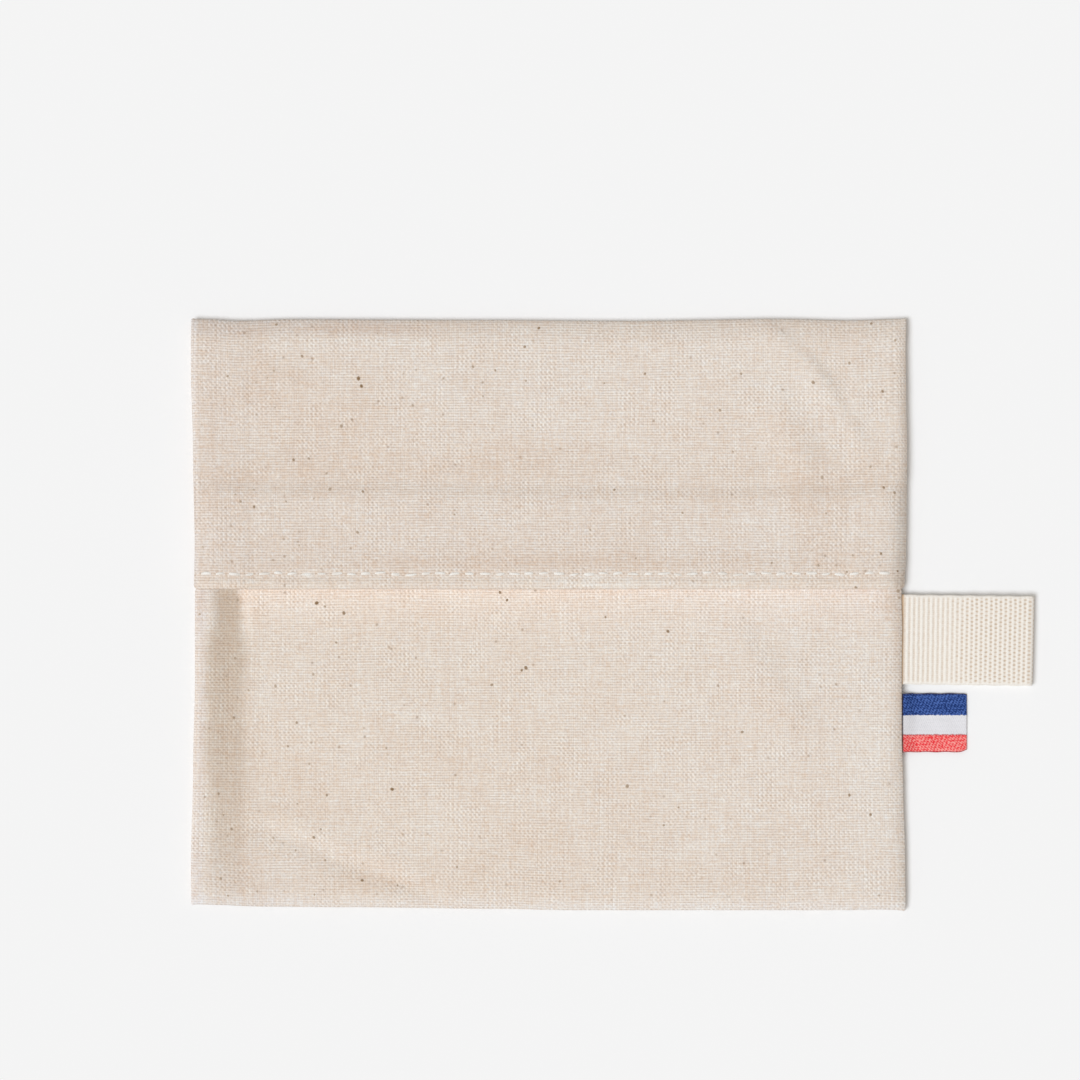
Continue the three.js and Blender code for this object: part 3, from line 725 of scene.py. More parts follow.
def thread_shade(shader, warp, weft):
    """How much lighter or darker some threads are than the next, and their thin and thick places."""
    whole_warp = shader.noise(shader.vector(warp.floor(), weft * 0.03, 3.0), 1.7, 2.0, 0.7)
    whole_weft = shader.noise(shader.vector(warp * 0.03, weft.floor(), 9.0), 1.7, 2.0, 0.7)
    along_warp = shader.noise(shader.vector(warp, weft * 0.15, 15.0), 1.3, 1.0, 0.8)
    along_weft = shader.noise(shader.vector(warp * 0.12, weft, 25.0), 1.6, 1.0, 0.8)
    whole = whole_warp.swing(0.04) + whole_weft.swing(0.045)
    return whole + along_warp.swing(0.05) + along_weft.swing(0.08)


def hollow_band(shader, flat, from_left, t):
    """1 in the shaded band along the panel's hollow. Its two sides shift on the way down the panel."""
    lower = t.ramp(1.5, -7.0)
    foot = t.ramp(-22.0, -36.0)
    place = from_left + shader.noise(flat, 0.2).swing(0.5)
    left_side = place.ramp(2.1 - 1.1 * lower + 0.4 * foot, 4.7 - 1.3 * lower + 1.6 * foot)
    right_side = place.ramp(8.6 + 2.2 * lower + 0.6 * foot, 6.8 + 0.1 * lower)
    return left_side * right_side * t.ramp(-53.0, -38.0) * t.ramp(-40.0, -3.0, 0.57, 1.0, soft=False)


def coolness(s, t, from_left, near_hem, on_panel, on_flap):
    """Cooler over the flap, most of all at its left, below and along the upper fold, and on the panel
    to the right and in its lower left-hand corner."""
    flap = 0.9 * from_left.ramp(16.0, 3.0) + t.ramp(26.0, 12.0, 0.85, 1.4)
    flap *= t.ramp(5.0, 9.0, 0.15, 1.0)
    flap += 1.8 * t.ramp(46.8, 48.3) * from_left.ramp(45.0, 32.0)
    panel = s.ramp(-5.0, HALF_WIDTH, soft=False) * (1.1 + 1.6 * near_hem)
    panel += 1.3 * t.ramp(-37.0, -44.0) * from_left.ramp(28.0, 12.0)
    return on_flap * flap + on_panel * panel


def turned_shade(shader, t, from_left, on_flap):
    """Darker where the cloth turns, painted shade: at the upper fold, the two seams and the edge of the
    hem.
    """
    top = 0.1 * t.ramp(HALF_HEIGHT - 5.0, HALF_HEIGHT - 1.2)
    left = 0.035 * from_left.ramp(2.0, 0.8) * t.ramp(36.0, 22.0) * on_flap
    beside_labels = t.ramp(-26.0, -24.0) * t.ramp(14.0, 4.0)
    right = from_left.ramp(WIDTH - 2.2, WIDTH - 0.4) * (0.01 + 0.08 * beside_labels)
    hem = 0.085 * t.ramp(HEM_LINE + 0.25, HEM_LINE) * on_flap
    return shader.largest(top, left, right, hem)


def needle_holes(shader, s, t):
    """1 at both ends of each stitch, where painted shade darkens the needle's holes."""
    from_middle = shader.math("PINGPONG", s + (HALF_WIDTH - STITCH_START), STITCH_PITCH / 2)
    beside = abs(from_middle - (STITCH_SHOWN / 2 + HOLE_GAP))
    return beside.ramp(0.3, 0.05) * abs(t - STITCH_LINE).ramp(0.3, 0.05)


def seed_spots(shader, flat):
    """The smallest seed flecks, everywhere."""
    cells = shader.node("TexVoronoi")
    cells.inputs["Scale"].default_value = 0.45
    shader.link(flat, cells.inputs["Vector"])
    chosen = Value(shader, cells.outputs["Color"]).split()[0].ramp(0.52, 0.88, soft=False)
    return 0.55 * chosen * Value(shader, cells.outputs["Distance"]).ramp(0.16, 0.04)


def calico_material():
    shader = Shader("unbleached calico")
    flat = shader.attribute("weave")
    across, along, painted_shade = flat.split()
    warp, weft = thread_counts(shader, flat)
    light = plain_weave(shader, warp, weft)
    mottle = shader.noise(flat, 2.3, 2.0, 0.95).swing(0.175, half=0.25)
    cloud = shader.noise(flat, 0.09, 4.0, 0.75).swing(0.034)
    warmth = shader.noise(shader.vector(across, along, 12.0), 2.2, 2.0, 0.95).swing(0.08)
    colour = shader.tinted(CREAM, SHADING, light + mottle)
    # The tables' painted light and shade go in with the threads' own streaks and the cloud
    colour = shader.tinted(colour, BROAD_SHADING, thread_shade(shader, warp, weft) + painted_shade + cloud)
    colour = shader.tinted(colour, WARMTH, warmth)

    # The painted shade of the lower panel's band and of the slope to the right of it, and the painted
    # warm light below the hem
    s, t, layer = shader.attribute("place").split()
    from_left = s + HALF_WIDTH
    on_panel = layer.ramp(0.5, 0.9) * layer.ramp(1.6, 1.2)
    on_flap = layer.ramp(1.2, 1.6)
    band = hollow_band(shader, flat, from_left, t) * on_panel
    colour = shader.mix(band, colour, shader.mix(1.0, colour, BAND_COLOUR, "MULTIPLY"))
    slope = from_left.ramp(14.0, 8.5) * from_left.ramp(6.5, 9.0) * t.ramp(1.5, -7.0)
    colour = shader.tinted(colour, SHADING, -0.06 * slope * on_panel)
    near_hem = t.ramp(-7.0, HEM_LINE, soft=False) ** 2.0
    between_sides = from_left.ramp(6.5, 8.5) * from_left.ramp(WIDTH - 1.1, WIDTH - 5.1)
    colour = shader.tinted(colour, PAINTED_WARM_LIGHT, near_hem * on_panel * between_sides * (1.0 - band))

    # Wider tints, painted cool light on the lit outer edges, and painted shade where the cloth turns
    # and in the needle's holes
    colour = shader.tinted(colour, COOLER, coolness(s, t, from_left, near_hem, on_panel, on_flap))
    beside_hollow = 0.9 * from_left.ramp(5.5, 3.5) * t.ramp(-4.5, 0.5)
    lit_edges = shader.largest(on_flap * from_left.ramp(1.6, 0.4), on_panel * t.ramp(-47.6, -49.6),
                          on_panel * beside_hollow)
    colour = shader.tinted(colour, PAINTED_COOL_LIGHT, lit_edges)
    colour = shader.tinted(colour, SHADING, -1.0 * turned_shade(shader, t, from_left, on_flap))
    colour = shader.tinted(colour, PAINTED_LIT_SIDE, on_panel * from_left.ramp(2.6, 1.4))
    colour = shader.tinted(colour, SHADING, -0.2 * needle_holes(shader, s, t))
    colour = shader.mix(seed_spots(shader, flat), colour, SEED_SPOT)
    shader.bump(light, 0.15)
    shader.finish(colour, {"Roughness": 0.9, "Specular IOR Level": 0.2, "Sheen Weight": 0.15,
                           "Sheen Roughness": 0.5})
    return shader.material


# The seed flecks that show best on the front: (x, y, length, how dark)
FLECKS = [
    (-46.3, 49.3, 0.5, 0.7), (-29.1, 47.8, 0.3, 0.4), (-49.3, 44.8, 0.3, 0.4),
    (-41.9, 43.9, 0.5, 0.7), (-32.3, 40.1, 0.7, 1.0), (-31.8, 38.8, 0.6, 1.0),
    (-46.7, 41.4, 0.4, 0.4), (-54.5, 40.5, 0.4, 0.6), (-47.8, 40.2, 0.3, 0.4),
    (-23.1, 35.5, 0.45, 0.5), (-46.5, 35.2, 0.3, 0.3), (-35.2, 32.0, 0.6, 0.6),
    (-43.3, 26.3, 0.5, 0.8), (-40.7, 26.5, 0.45, 0.6), (-37.7, 24.0, 0.4, 0.5),
    (-37.1, 21.3, 0.6, 0.55), (-31.5, 20.9, 0.5, 0.7), (-52.2, 19.2, 0.45, 0.6),
    (-49.9, 18.3, 0.5, 0.8), (-44.5, 19.2, 0.35, 0.5), (-32.4, 14.0, 0.5, 0.6),
    (-1.7, 48.7, 0.5, 0.9), (-4.1, 45.5, 0.5, 0.7), (-12.9, 42.1, 0.45, 0.6),
    (-9.1, 41.5, 0.4, 0.6), (-3.9, 39.7, 0.35, 0.5), (-11.2, 37.1, 0.35, 0.4),
    (-16.0, 17.0, 0.35, 0.5), (16.3, 40.9, 0.45, 0.7), (9.4, 39.3, 0.35, 0.5),
    (32.6, 40.9, 0.45, 0.6), (44.8, 39.4, 0.6, 0.7), (51.0, 42.7, 0.5, 0.6), (56.6, 37.9, 0.5, 0.8),
    (58.6, 41.0, 0.35, 0.5), (58.8, 46.6, 0.45, 0.5), (54.8, 49.5, 0.5, 0.7),
    (29.0, 34.7, 0.5, 0.6), (31.2, 27.7, 0.35, 0.5), (46.3, 23.3, 0.6, 0.5), (56.7, 21.6, 0.5, 0.8),
    (58.5, 20.7, 0.45, 0.7), (54.5, 25.1, 0.45, 0.5), (11.1, 21.2, 0.45, 0.7),
    (22.6, 17.3, 0.4, 0.6), (46.9, 17.2, 0.35, 0.5), (56.2, 10.4, 0.5, 0.8), (51.4, 10.1, 0.4, 0.5),
    (45.6, 8.4, 0.45, 0.6), (37.7, 8.8, 0.4, 0.6), (14.7, 9.6, 0.35, 0.5), (7.0, 14.4, 0.35, 0.5),
    (59.1, 7.4, 0.5, 0.9), (50.4, 7.3, 0.4, 0.6), (51.9, 4.7, 0.45, 0.7), (-8.3, 3.8, 0.5, 0.9),
    (-7.1, 2.5, 0.45, 0.95), (-39.4, 2.0, 0.65, 1.0), (-38.0, 1.4, 0.45, 0.5),
    (-34.8, 0.3, 0.6, 0.85), (9.6, -0.4, 0.4, 0.7), (20.2, -2.8, 0.55, 0.9),
    (-3.9, -9.0, 0.65, 0.9), (-4.6, -9.4, 0.45, 0.9), (-9.7, -11.9, 0.5, 0.7),
    (-36.1, -4.7, 0.4, 0.6), (-53.5, -17.5, 0.55, 0.7), (-42.8, -18.3, 0.45, 0.65),
    (-44.3, -22.3, 0.4, 0.6), (-40.7, -25.3, 0.4, 0.4), (-27.6, -22.6, 0.4, 0.5),
    (32.8, -19.9, 0.5, 0.7), (-26.6, -29.6, 0.6, 1.0), (-37.7, -30.6, 0.45, 0.7),
    (-56.1, -30.4, 0.5, 0.7), (-55.3, -34.0, 0.35, 0.6), (-53.9, -36.4, 0.5, 0.7),
    (13.3, -29.1, 0.65, 0.65), (19.5, -35.7, 0.4, 0.6), (22.0, -32.7, 0.35, 0.6),
    (51.0, -30.6, 0.5, 0.8), (54.6, -33.9, 0.5, 0.8), (-39.9, -37.8, 0.5, 0.75),
    (-38.7, -36.4, 0.35, 0.6), (-43.0, -40.0, 0.35, 0.5), (-38.0, -41.7, 0.4, 0.6),
    (-31.7, -45.1, 0.5, 0.9), (-25.7, -46.0, 0.4, 0.6), (-55.7, -44.8, 0.5, 0.6),
    (-54.5, -47.7, 0.35, 0.6), (-39.8, -47.5, 0.35, 0.5), (-15.6, -42.8, 0.4, 0.6),
    (59.5, 2.9, 0.5, 0.5), (59.3, 4.0, 0.6, 0.6), (-53.3, -7.4, 0.5, 0.6),
    (-54.8, -10.5, 0.45, 0.45), (-51.0, -12.8, 0.4, 0.5), (-52.9, -14.1, 0.45, 0.5),
    (-57.7, -19.3, 0.4, 0.45), (-55.8, -20.3, 0.4, 0.4), (-56.4, -35.1, 0.4, 0.45),
    (-54.6, -37.5, 0.4, 0.4), (-46.4, -12.1, 0.5, 0.5), (-46.8, -37.9, 0.45, 0.35),
    (-42.7, -32.1, 0.35, 0.4), (-40.0, -10.1, 0.5, 0.4), (-50.0, 21.2, 0.4, 0.4),
    (-53.1, 20.4, 0.35, 0.4), (-39.8, 19.7, 0.3, 0.35), (-42.3, 11.8, 0.35, 0.35),
    (-58.6, 11.5, 0.35, 0.35), (-54.7, 2.8, 0.4, 0.45), (-52.9, 2.5, 0.5, 0.6),
    (-59.3, 0.1, 0.4, 0.5),
]


def either(s, value):
    """What value gives for the side that each place is on."""
    return np.where(s < 0, value(-1), value(1))


def surface_level(s, t):
    """Height of the cloth's upper side, on the flap or on the panel below it, also on the seams' rolls
    and on the round of the upper and lower folds."""
    s, t = np.broadcast_arrays(np.asarray(s, float), t)
    is_flap = t > HEM_LINE
    inward = HALF_WIDTH - np.abs(s)
    reach = either(s, lambda side: roll_reach(side, is_flap, t))
    flat_s = np.where(s < 0, -1, 1) * np.maximum(HALF_WIDTH - np.maximum(inward, reach), 0)
    level = np.where(is_flap, flap_level(flat_s, t), panel_level(flat_s, t))
    past_upper = (t - (HALF_HEIGHT - CLOTH / 2 - UPPER_REACH)) / UPPER_REACH
    past_lower = (-t - (HALF_HEIGHT - CLOTH / 2 - LOWER_REACH)) / LOWER_REACH
    past = np.clip(np.maximum(past_upper, past_lower), 0, 1)
    level = between(BACK_LEVEL, level, (1 + np.sqrt(1 - past ** 2)) / 2)
    turning = either(s, lambda side: seam_level(side, t) + seam_room(side, t)) + TUCK_RADIUS
    share = np.clip((reach - inward) / (reach - ROLL_EDGE), 0, 1)
    return turning + (level - turning) * (1 - share ** 2) ** (either(s, roll_power) / 2) + CLOTH / 2


def ring_faces(first, rings, sides):
    """Faces round a row of rings of points, both ends closed. first is the first point's number."""
    faces = []
    for start in range(first, first + (rings - 1) * sides, sides):
        for near in range(sides):
            far = (near + 1) % sides
            faces.append((start + near, start + far, start + sides + far, start + sides + near))
    last = first + (rings - 1) * sides
    faces.append(tuple(range(last, last + sides)))
    faces.append(tuple(reversed(range(first, first + sides))))
    return faces


# The rings of a fleck from its rim inward: (height over the cloth, reach, share of its darkness)
FLECK_RINGS = [(-0.02, 1.3, 0.15), (0.02, 1.0, 0.6), (0.05, 0.5, 1.0)]
FLECK_SIDES = 6
FLECK_LENGTH = 0.57  # half a fleck's length and half its width, as shares of the length in the table
FLECK_WIDTH = 0.46
SEED_PALE = (0.72, 0.62, 0.52)
SEED_DARK = (0.26, 0.16, 0.085)


def flecks_mesh():
    """Bits of cotton seed caught in the weave, each a flat grain that follows the cloth."""
    points, faces, shades = [], [], []
    corners = np.arange(FLECK_SIDES) * 2 * math.pi / FLECK_SIDES
    for number, (x, y, length, dark) in enumerate(FLECKS):
        turned = 0.4 + 1.9 * math.sin(number * 2.7)
        faces += ring_faces(len(points), len(FLECK_RINGS), FLECK_SIDES)
        for height, reach, share in FLECK_RINGS:
            along = FLECK_LENGTH * length * reach * np.cos(corners)
            aside = FLECK_WIDTH * length * reach * np.sin(corners)
            corner_x = x + along * math.cos(turned) - aside * math.sin(turned)
            corner_y = y + along * math.sin(turned) + aside * math.cos(turned)
            moved_x, moved_y = on_cloth(corner_x, corner_y)
            level = surface_level(2 * corner_x - moved_x, 2 * corner_y - moved_y)
            points += np.stack([corner_x, corner_y, level + height], -1).tolist()
            shades += [dark * share] * FLECK_SIDES
    mesh = new_mesh("seed_flecks", points, faces, rounded=False)
    mesh.attributes.new("dark", "FLOAT", "POINT").data.foreach_set("value", shades)
    return mesh


def fleck_material():
    shader = Shader("cotton seed")
    colour = shader.mix(shader.attribute("dark", "Fac"), SEED_PALE, SEED_DARK)
    shader.finish(colour, {"Roughness": 0.9, "Specular IOR Level": 0.1})
    return shader.material


# The hem's stitching
THREAD = (0.90, 0.875, 0.83)
THREAD_GAP = (0.82, 0.785, 0.735)
THREAD_DULL = (0.74, 0.68, 0.61)
THREAD_WIDTH = 0.5
THREAD_FLATNESS = 0.4  # how high the thread is as a share of its width
THREAD_SIDES = 8
THREAD_TAPER = 0.6  # how much thinner it is at its two ends
TWIST_PITCH = 0.32
TWIST_SLANT = 0.4584
STITCH_REACH = 0.62  # how far the thread goes either way, as a share of the stitch
STITCH_SLANT = 0.06
STITCH_RISE = 0.06  # middle of the thread over the cloth, and how far its ends dive from there
STITCH_DIVE = 0.25

# How its stitches differ from one to the next: (how much, pace, start)
UNEVEN = {
    "place": (0.12, 5.1, 0), "slant": (0.18, 2.3, 0), "line": (0.08, 1.7, 0), "drift": (0.05, 4.3, 0),
    "length": (0.18, 3.7, 0), "bow": (0.1, 1.1, 2), "width": (0.2, 2.9, 1), "rise": (0.03, 3.3, 0),
}


def thread_rings(path, radius):
    """Rings of points round a flattened thread along a path."""
    along = np.gradient(path, axis=0)
    along /= np.linalg.norm(along, axis=1, keepdims=True)
    up = np.cross(along, np.cross([0.0, 0.0, 1.0], along))
    up /= np.linalg.norm(up, axis=1, keepdims=True)
    aside = np.cross(along, up)
    angle = (np.arange(THREAD_SIDES) * 2 * math.pi / THREAD_SIDES)[None, :, None]
    ring = up[:, None] * THREAD_FLATNESS * np.cos(angle) + aside[:, None] * np.sin(angle)
    return (path[:, None] + ring * radius[:, None, None]).reshape(-1, 3)


def stitching_mesh():
    """One row of stitches along the flap's hem, each a short thread that dives into the cloth."""
    points, faces = [], []
    along = np.linspace(-1, 1, 11)
    for number in range(int((WIDTH - 2 * STITCH_START) / STITCH_PITCH) + 1):
        uneven = {name: most * math.sin(number * pace + start)
                  for name, (most, pace, start) in UNEVEN.items()}
        middle = STITCH_START - HALF_WIDTH + STITCH_PITCH * number + uneven["place"]
        reach = STITCH_REACH * along
        s = middle + reach * STITCH_SHOWN * (1 + uneven["length"])
        t = STITCH_LINE + uneven["line"] + uneven["drift"] + reach * (STITCH_SLANT + uneven["slant"])
        t = t + uneven["bow"] * (1 - along ** 2)
        z = surface_level(s, t) + STITCH_RISE + uneven["rise"] - STITCH_DIVE * np.abs(along) ** 3
        radius = THREAD_WIDTH / 2 * (1 + uneven["width"]) * (1 - THREAD_TAPER * along ** 2)
        faces += ring_faces(len(points), along.size, THREAD_SIDES)
        points += thread_rings(np.stack([*on_cloth(s, t), z], -1), radius).tolist()
    return new_mesh("hem_stitching", points, faces)


def thread_material():
    shader = Shader("cotton sewing thread")
    place = Value(shader, shader.node("TexCoord").outputs["Object"])
    x, y, _ = place.split()
    twist = (x + TWIST_SLANT * y) / (TWIST_PITCH * MM)
    colour = shader.mix(twist.wave().ramp(-1.0, 0.2), THREAD_GAP, THREAD)
    dull = shader.noise(place, 0.7 / MM, 1.0).ramp(0.4, 0.65, 0.0, 0.6)
    colour = shader.mix(dull, colour, THREAD_DULL)
    shader.finish(colour, {"Roughness": 0.75, "Sheen Weight": 0.2})
    return shader.material


# The two labels: middle and edge say where each leaves the seam, turn is in degrees, lean is how much
# further its upper corner reaches than its lower one, and gap is between its two layers at the fold.
# bow is how much its upper layer rises, low how high its fold lies and settle where it gets there.
TAPE_LABEL = {
    "middle": -4.19, "edge": 59.7, "width": 15.3, "reach": 22.8, "turn": -0.7, "lean": 0.17,
    "cloth": 0.42, "gap": 0.7, "upper_corner": 0.3, "lower_corner": 0.5, "bow": 0.0875,
    "low": 0.35, "settle": 7.0,
}
RIBBON_LABEL = {
    "middle": -18.45, "edge": 59.7, "width": 10.0, "reach": 11.55, "turn": 0.0, "lean": 0.0,
    "cloth": 0.18, "gap": 0.04, "upper_corner": 0.45, "lower_corner": 0.75, "bow": 0.025,
    "low": 0.14, "settle": 3.2,
}
ROOT_DEPTH = 3.6
ROOT_GAP = 0.06  # between the two layers in the seam
EDGE_WAVE = 0.04
RIB_PITCH = 0.815
RIB_HEIGHT = 0.02
SELVEDGE_START = 0.7  # how far in from the tape's edge its ribs run out
SELVEDGE_FULL = 0.2


def label_mesh(name, label, step_along, step_across, relief):
    """A tape folded in half, its two ends in the seam: a grid of points along its run and across."""
    half_gap = (label["gap"] + label["cloth"]) / 2
    fold = label["reach"] - half_gap - label["cloth"] / 2
    out = np.array(steps(-ROOT_DEPTH, fold, step_along) + [fold])
    turn = arc(10, 0, 180)[:-1]
    along = np.concatenate([out, fold + 0 * turn, out[::-1]])
    angle = np.concatenate([0 * out, turn, 0 * out + math.pi])
    opening = smooth(along, 0.5, 0.75 * label["reach"])
    spread = between((label["cloth"] + ROOT_GAP) / 2, half_gap, opening)
    x = along + half_gap * np.sin(angle)
    low_end = label["low"] + half_gap
    z = between(SEAM_LEVEL["labels"], low_end, smooth(x, 0.2, label["settle"]))
    z = z + spread * np.cos(angle)
    run = run_length(np.stack([x, z], -1))[:, None]
    width = label["width"]
    y = np.linspace(-0.5, 0.5, int(width / step_across) + 1) * width
    weave = np.stack(np.broadcast_arrays(run, y, 0.0), -1)
    y, x, z = np.broadcast_arrays(y, x[:, None], z[:, None])
    bow = label["bow"] * (1 - (2 * y / width) ** 2) * smooth(x, 2, 12) * (z > low_end)
    z = z + bow + relief(run, y) * np.cos(angle)[:, None]
    x = x + label["lean"] * (y / width) * np.clip(x, 0, None) / label["reach"]

    # Its rounded corners and wavy edges, and how it lies
    corner = np.where(y > 0, label["upper_corner"], label["lower_corner"])
    beyond = np.clip(x - (label["reach"] - 2 * corner), 0, None) / (2 * corner)
    tuck = corner * (1 - np.sqrt(1 - 0.9 * beyond ** 2))
    tuck = tuck + EDGE_WAVE * np.sin(1.9 * x + np.sign(y)) * smooth(x, 0, 2)
    y = y * (1 - 2 * tuck * np.abs(2 * y / width) ** 6 / width)
    turned = math.radians(label["turn"])
    place_x = label["edge"] + x * math.cos(turned) - y * math.sin(turned)
    place_y = label["middle"] + x * math.sin(turned) + y * math.cos(turned)
    middle = np.stack([place_x, place_y, z], -1)[:, ::-1]
    place = np.stack([x, y, z], -1)[:, ::-1]
    thick = np.full(x.shape, label["cloth"])
    return sheet_mesh(name, middle, thick, weave[:, ::-1], place)


def tape_ribs(run, across):
    """The tape's ribs, and its flat selvedges."""
    half_width = TAPE_LABEL["width"] / 2
    inside = 1 - smooth(np.abs(across), half_width - SELVEDGE_START, half_width - SELVEDGE_FULL)
    return RIB_HEIGHT * (np.cos(run * 2 * math.pi / RIB_PITCH) * inside - 1)


def ribbon_relief(run, across):
    return 0.03 * np.sin(run * 1.3 + across * 0.8)


def bricks(along, across, along_pitch, across_pitch):
    """Rows of dots, each row half a dot further on: 1 in a dot's middle, -1 between dots."""
    row = across / across_pitch
    dots = (along / along_pitch + 0.5 * row.floor()).wave()
    middle = row.wave(0.5)
    return dots * middle * middle


DOT_PITCH = 0.69
END_PITCH = 0.37  # from thread to thread across the tape
TAPE_CREAM = (0.90, 0.855, 0.79)
TAPE_PEACH = (0.67, 0.53, 0.40)
# painted shade where the tape goes into the seam
TAPE_ROOT_SHADE = (0.70, 0.51, 0.34)


def tape_material():
    """Ribs with peach grooves between them, which show as rows of dots towards the fold."""
    shader = Shader("ribbed cotton tape")
    flat = shader.attribute("weave")
    run, across, _ = flat.split()
    out = shader.attribute("place").split()[0]
    wander = shader.noise(flat, 0.5, 2.0, 0.6)
    moved_run = run + 0.2 * wander
    moved_across = across + 0.25 * wander
    groove = (moved_run / RIB_PITCH).wave(start=90).ramp(0.7, -0.6, 0.0, 0.67)
    dots = bricks(moved_across, moved_run, DOT_PITCH, RIB_PITCH).ramp(-0.15, 0.7, 0.0, 0.8)
    dotted = out.ramp(7.0, 13.0)
    fine = abs((moved_across / END_PITCH).wave(0.5))
    stripes = groove * fine.ramp(0.0, 0.6, 1.0, 0.75) * (1.0 - 0.4 * dotted)
    uneven = shader.noise(flat, 1.6, 3.0, 0.9).ramp(0.3, 0.7, 0.4, 1.25)
    half_width = TAPE_LABEL["width"] / 2
    inside = abs(across).ramp(half_width - SELVEDGE_FULL, half_width - SELVEDGE_START)
    peach = (stripes + dots * dotted) * uneven * inside
    colour = shader.mix(peach, TAPE_CREAM, TAPE_PEACH)
    colour = shader.tinted(colour, SHADING, shader.noise(flat, 3.2, 2.0, 0.9).swing(0.09))
    # painted shade at the root, where the tape goes into the seam
    colour = shader.mix(out.ramp(0.8, 0.45), colour, TAPE_ROOT_SHADE)
    shader.bump(0.3 * fine - 0.8 * peach, 0.06)
    shader.finish(colour, {"Roughness": 0.85, "Specular IOR Level": 0.25, "Sheen Weight": 0.1})
    return shader.material


# The ribbon's stripes: where they meet, measured from its middle, and each one's two thread colours
BLUE_END = 1.3
RED_START = -2.04
BLUE = ((0.004, 0.028, 0.15), (0.072, 0.15, 0.46))
WHITE = ((0.74, 0.735, 0.765), (0.83, 0.82, 0.85))
RED = ((0.86, 0.04, 0.05), (1.0, 0.36, 0.33))
RED_EDGE = (0.40, 0.03, 0.04)
# darker along the ribbon's two long edges
RIBBON_EDGE_DARKENING = (0.06, 0.03, 0.04)
# painted shadow where the ribbon goes into the seam
RIBBON_ROOT_SHADOW = (0.06, 0.04, 0.04)
TWILL_PITCH = (0.56, 0.33)  # of its coloured stripes, along the ribbon and across
TICK_PITCH = 0.35  # of its white stripe


def ribbon_material():
    shader = Shader("woven tricolour ribbon")
    flat = shader.attribute("weave")
    run, across, _ = flat.split()
    out = shader.attribute("place").split()[0]
    slanted = run + 0.45 * across
    fibre = shader.noise(shader.vector(slanted * 2.3, across * 3.4), 1.0, 2.0, 0.9)
    rows = shader.noise(shader.vector(run * 0.12, across * 2.6), 1.0, 1.0, 0.8)
    twill = bricks(slanted, across, *TWILL_PITCH)
    speck = (9.0 * fibre + 1.3 * twill + 3.0 * rows).ramp(5.2, 7.0)
    ticks = 0.9 * ((slanted + 0.5 * fibre) / TICK_PITCH).wave() + rows.ramp(0.3, 0.7, -0.45, 0.45)
    wavy = across + shader.noise(flat, 2.4, 2.0, 0.7).ramp(0.3, 0.7, -0.08, 0.08)
    blue = wavy.ramp(BLUE_END - 0.05, BLUE_END + 0.05, soft=False)
    red = wavy.ramp(RED_START + 0.05, RED_START - 0.05, soft=False)
    colour = shader.mix(blue, shader.mix(ticks.ramp(-1.0, 1.0), *WHITE), shader.mix(speck, *BLUE))
    colour = shader.mix(red, colour, shader.mix(speck, *RED))
    colour = shader.mix(abs(wavy - RED_START).ramp(0.16, 0.06, 0.0, 0.6), colour, RED_EDGE)
    colour = shader.mix(abs(across).ramp(4.72, 4.95, 0.0, 0.55), colour, RIBBON_EDGE_DARKENING)
    # painted shadow at the root, where the ribbon goes into the seam
    colour = shader.mix(out.ramp(0.7, 0.4), colour, RIBBON_ROOT_SHADOW)
    shader.bump(fibre + 0.1 * ticks, 0.1)
    shader.finish(colour, {"Roughness": 0.7, "Specular IOR Level": 0.2})
    return shader.material


FLOOR_WIDTH = 12000.0
FLOOR_COLOUR = (0.92, 0.92, 0.92)


def floor():
    """A plain pale surface for the pouch to lie on."""
    far = FLOOR_WIDTH / 2
    corners = [(-far, -far, 0), (far, -far, 0), (far, far, 0), (-far, far, 0)]
    shader = Shader("pale floor")
    shader.finish(FLOOR_COLOUR, {"Roughness": 1.0, "Specular IOR Level": 0.0})
    add_piece(new_mesh("floor", corners, [(0, 1, 2, 3)], rounded=False), shader.material)


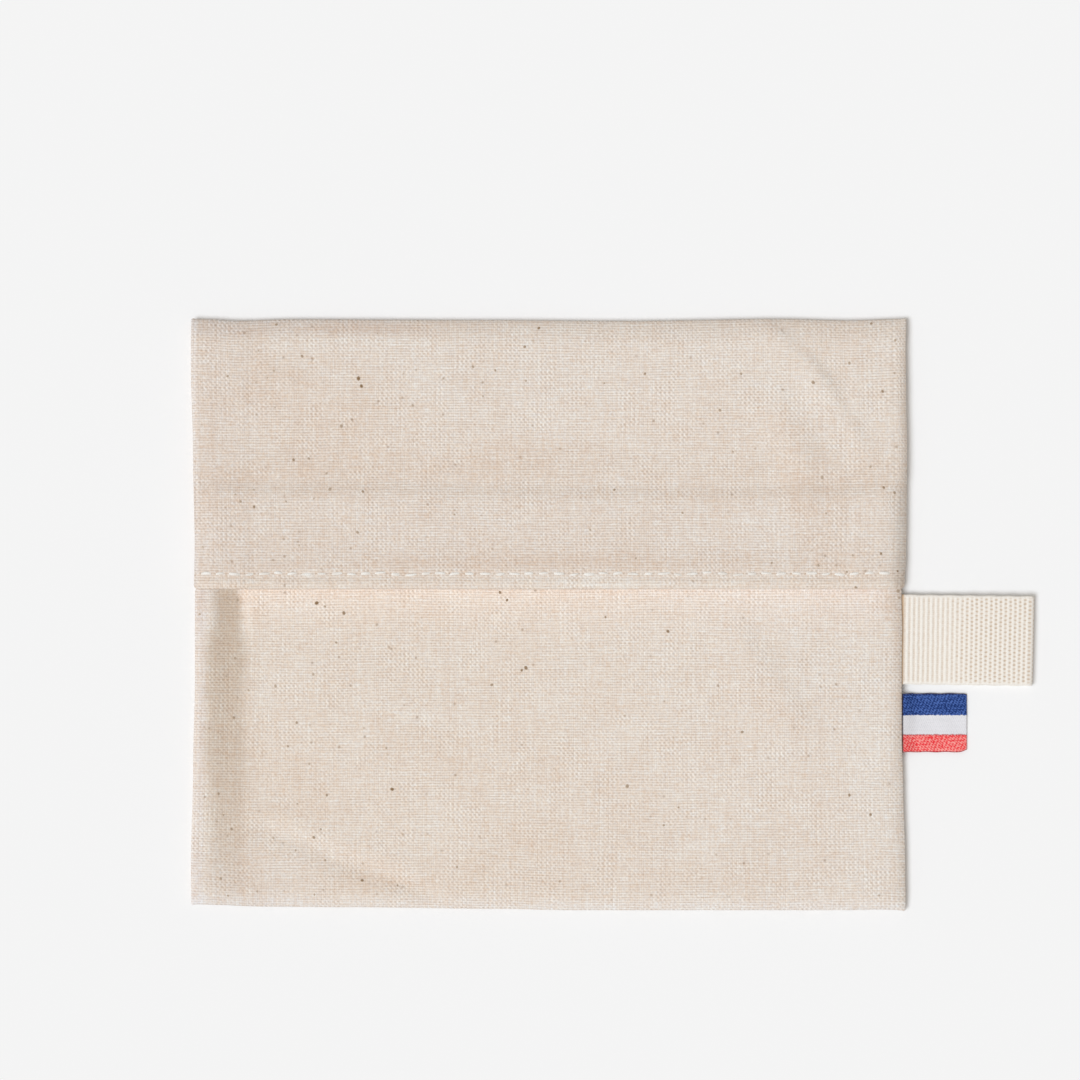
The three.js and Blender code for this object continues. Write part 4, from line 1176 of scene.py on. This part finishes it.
# The photograph's view: straight down, VIEW_WIDTH wide, its middle at VIEW_CENTRE
VIEW_WIDTH = 184.2
VIEW_CENTRE = (-1.5, 12.7)
LENS = 100.0
SENSOR = 36.0


def camera():
    data = bpy.data.cameras.new("camera")
    data.lens = LENS
    data.sensor_width = SENSOR
    holder = bpy.data.objects.new("camera", data)
    distance = VIEW_WIDTH * LENS / SENSOR
    holder.location = (VIEW_CENTRE[0] * MM, VIEW_CENTRE[1] * MM, distance * MM)
    bpy.context.scene.collection.objects.link(holder)
    bpy.context.scene.camera = holder


# Soft light from the left and a little below, and an even light from all around
LIGHT_ELEVATION = 60.0
LIGHT_BELOW_LEFT = 28.0
LIGHT_STRENGTH = 2.161
LIGHT_ANGLE = 32.0
LIGHT_COLOUR = (0.915, 0.951, 1.0)
FILL = 0.441
FILL_COLOUR = (1.0, 0.952, 0.886)


def lights():
    data = bpy.data.lights.new("window", "SUN")
    data.energy = LIGHT_STRENGTH
    data.color = LIGHT_COLOUR
    data.angle = math.radians(LIGHT_ANGLE)
    lamp = bpy.data.objects.new("window", data)
    lamp.rotation_euler = (0, math.radians(LIGHT_ELEVATION - 90), math.radians(LIGHT_BELOW_LEFT))
    bpy.context.scene.collection.objects.link(lamp)
    world = bpy.data.worlds.new("even light")
    world.use_nodes = True
    background = world.node_tree.nodes["Background"]
    background.inputs["Color"].default_value = (*FILL_COLOUR, 1)
    background.inputs["Strength"].default_value = FILL
    bpy.context.scene.world = world
    bpy.context.scene.view_settings.view_transform = "Standard"


camera()
lights()
floor()

pouch = add_piece(pouch_mesh(), calico_material())
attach(pouch, "root")
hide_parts("pouch_cloth")

stitching = add_piece(stitching_mesh(), thread_material())
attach(stitching, "root")

flecks = add_piece(flecks_mesh(), fleck_material())
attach(flecks, "root")

tape = add_piece(label_mesh("tape", TAPE_LABEL, RIB_PITCH / 8, 0.5, tape_ribs), tape_material())
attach(tape, "root")
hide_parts("tape_label")

ribbon = add_piece(label_mesh("ribbon", RIBBON_LABEL, 0.3, 0.4, ribbon_relief), ribbon_material())
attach(ribbon, "root")
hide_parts("tricolour_ribbon")
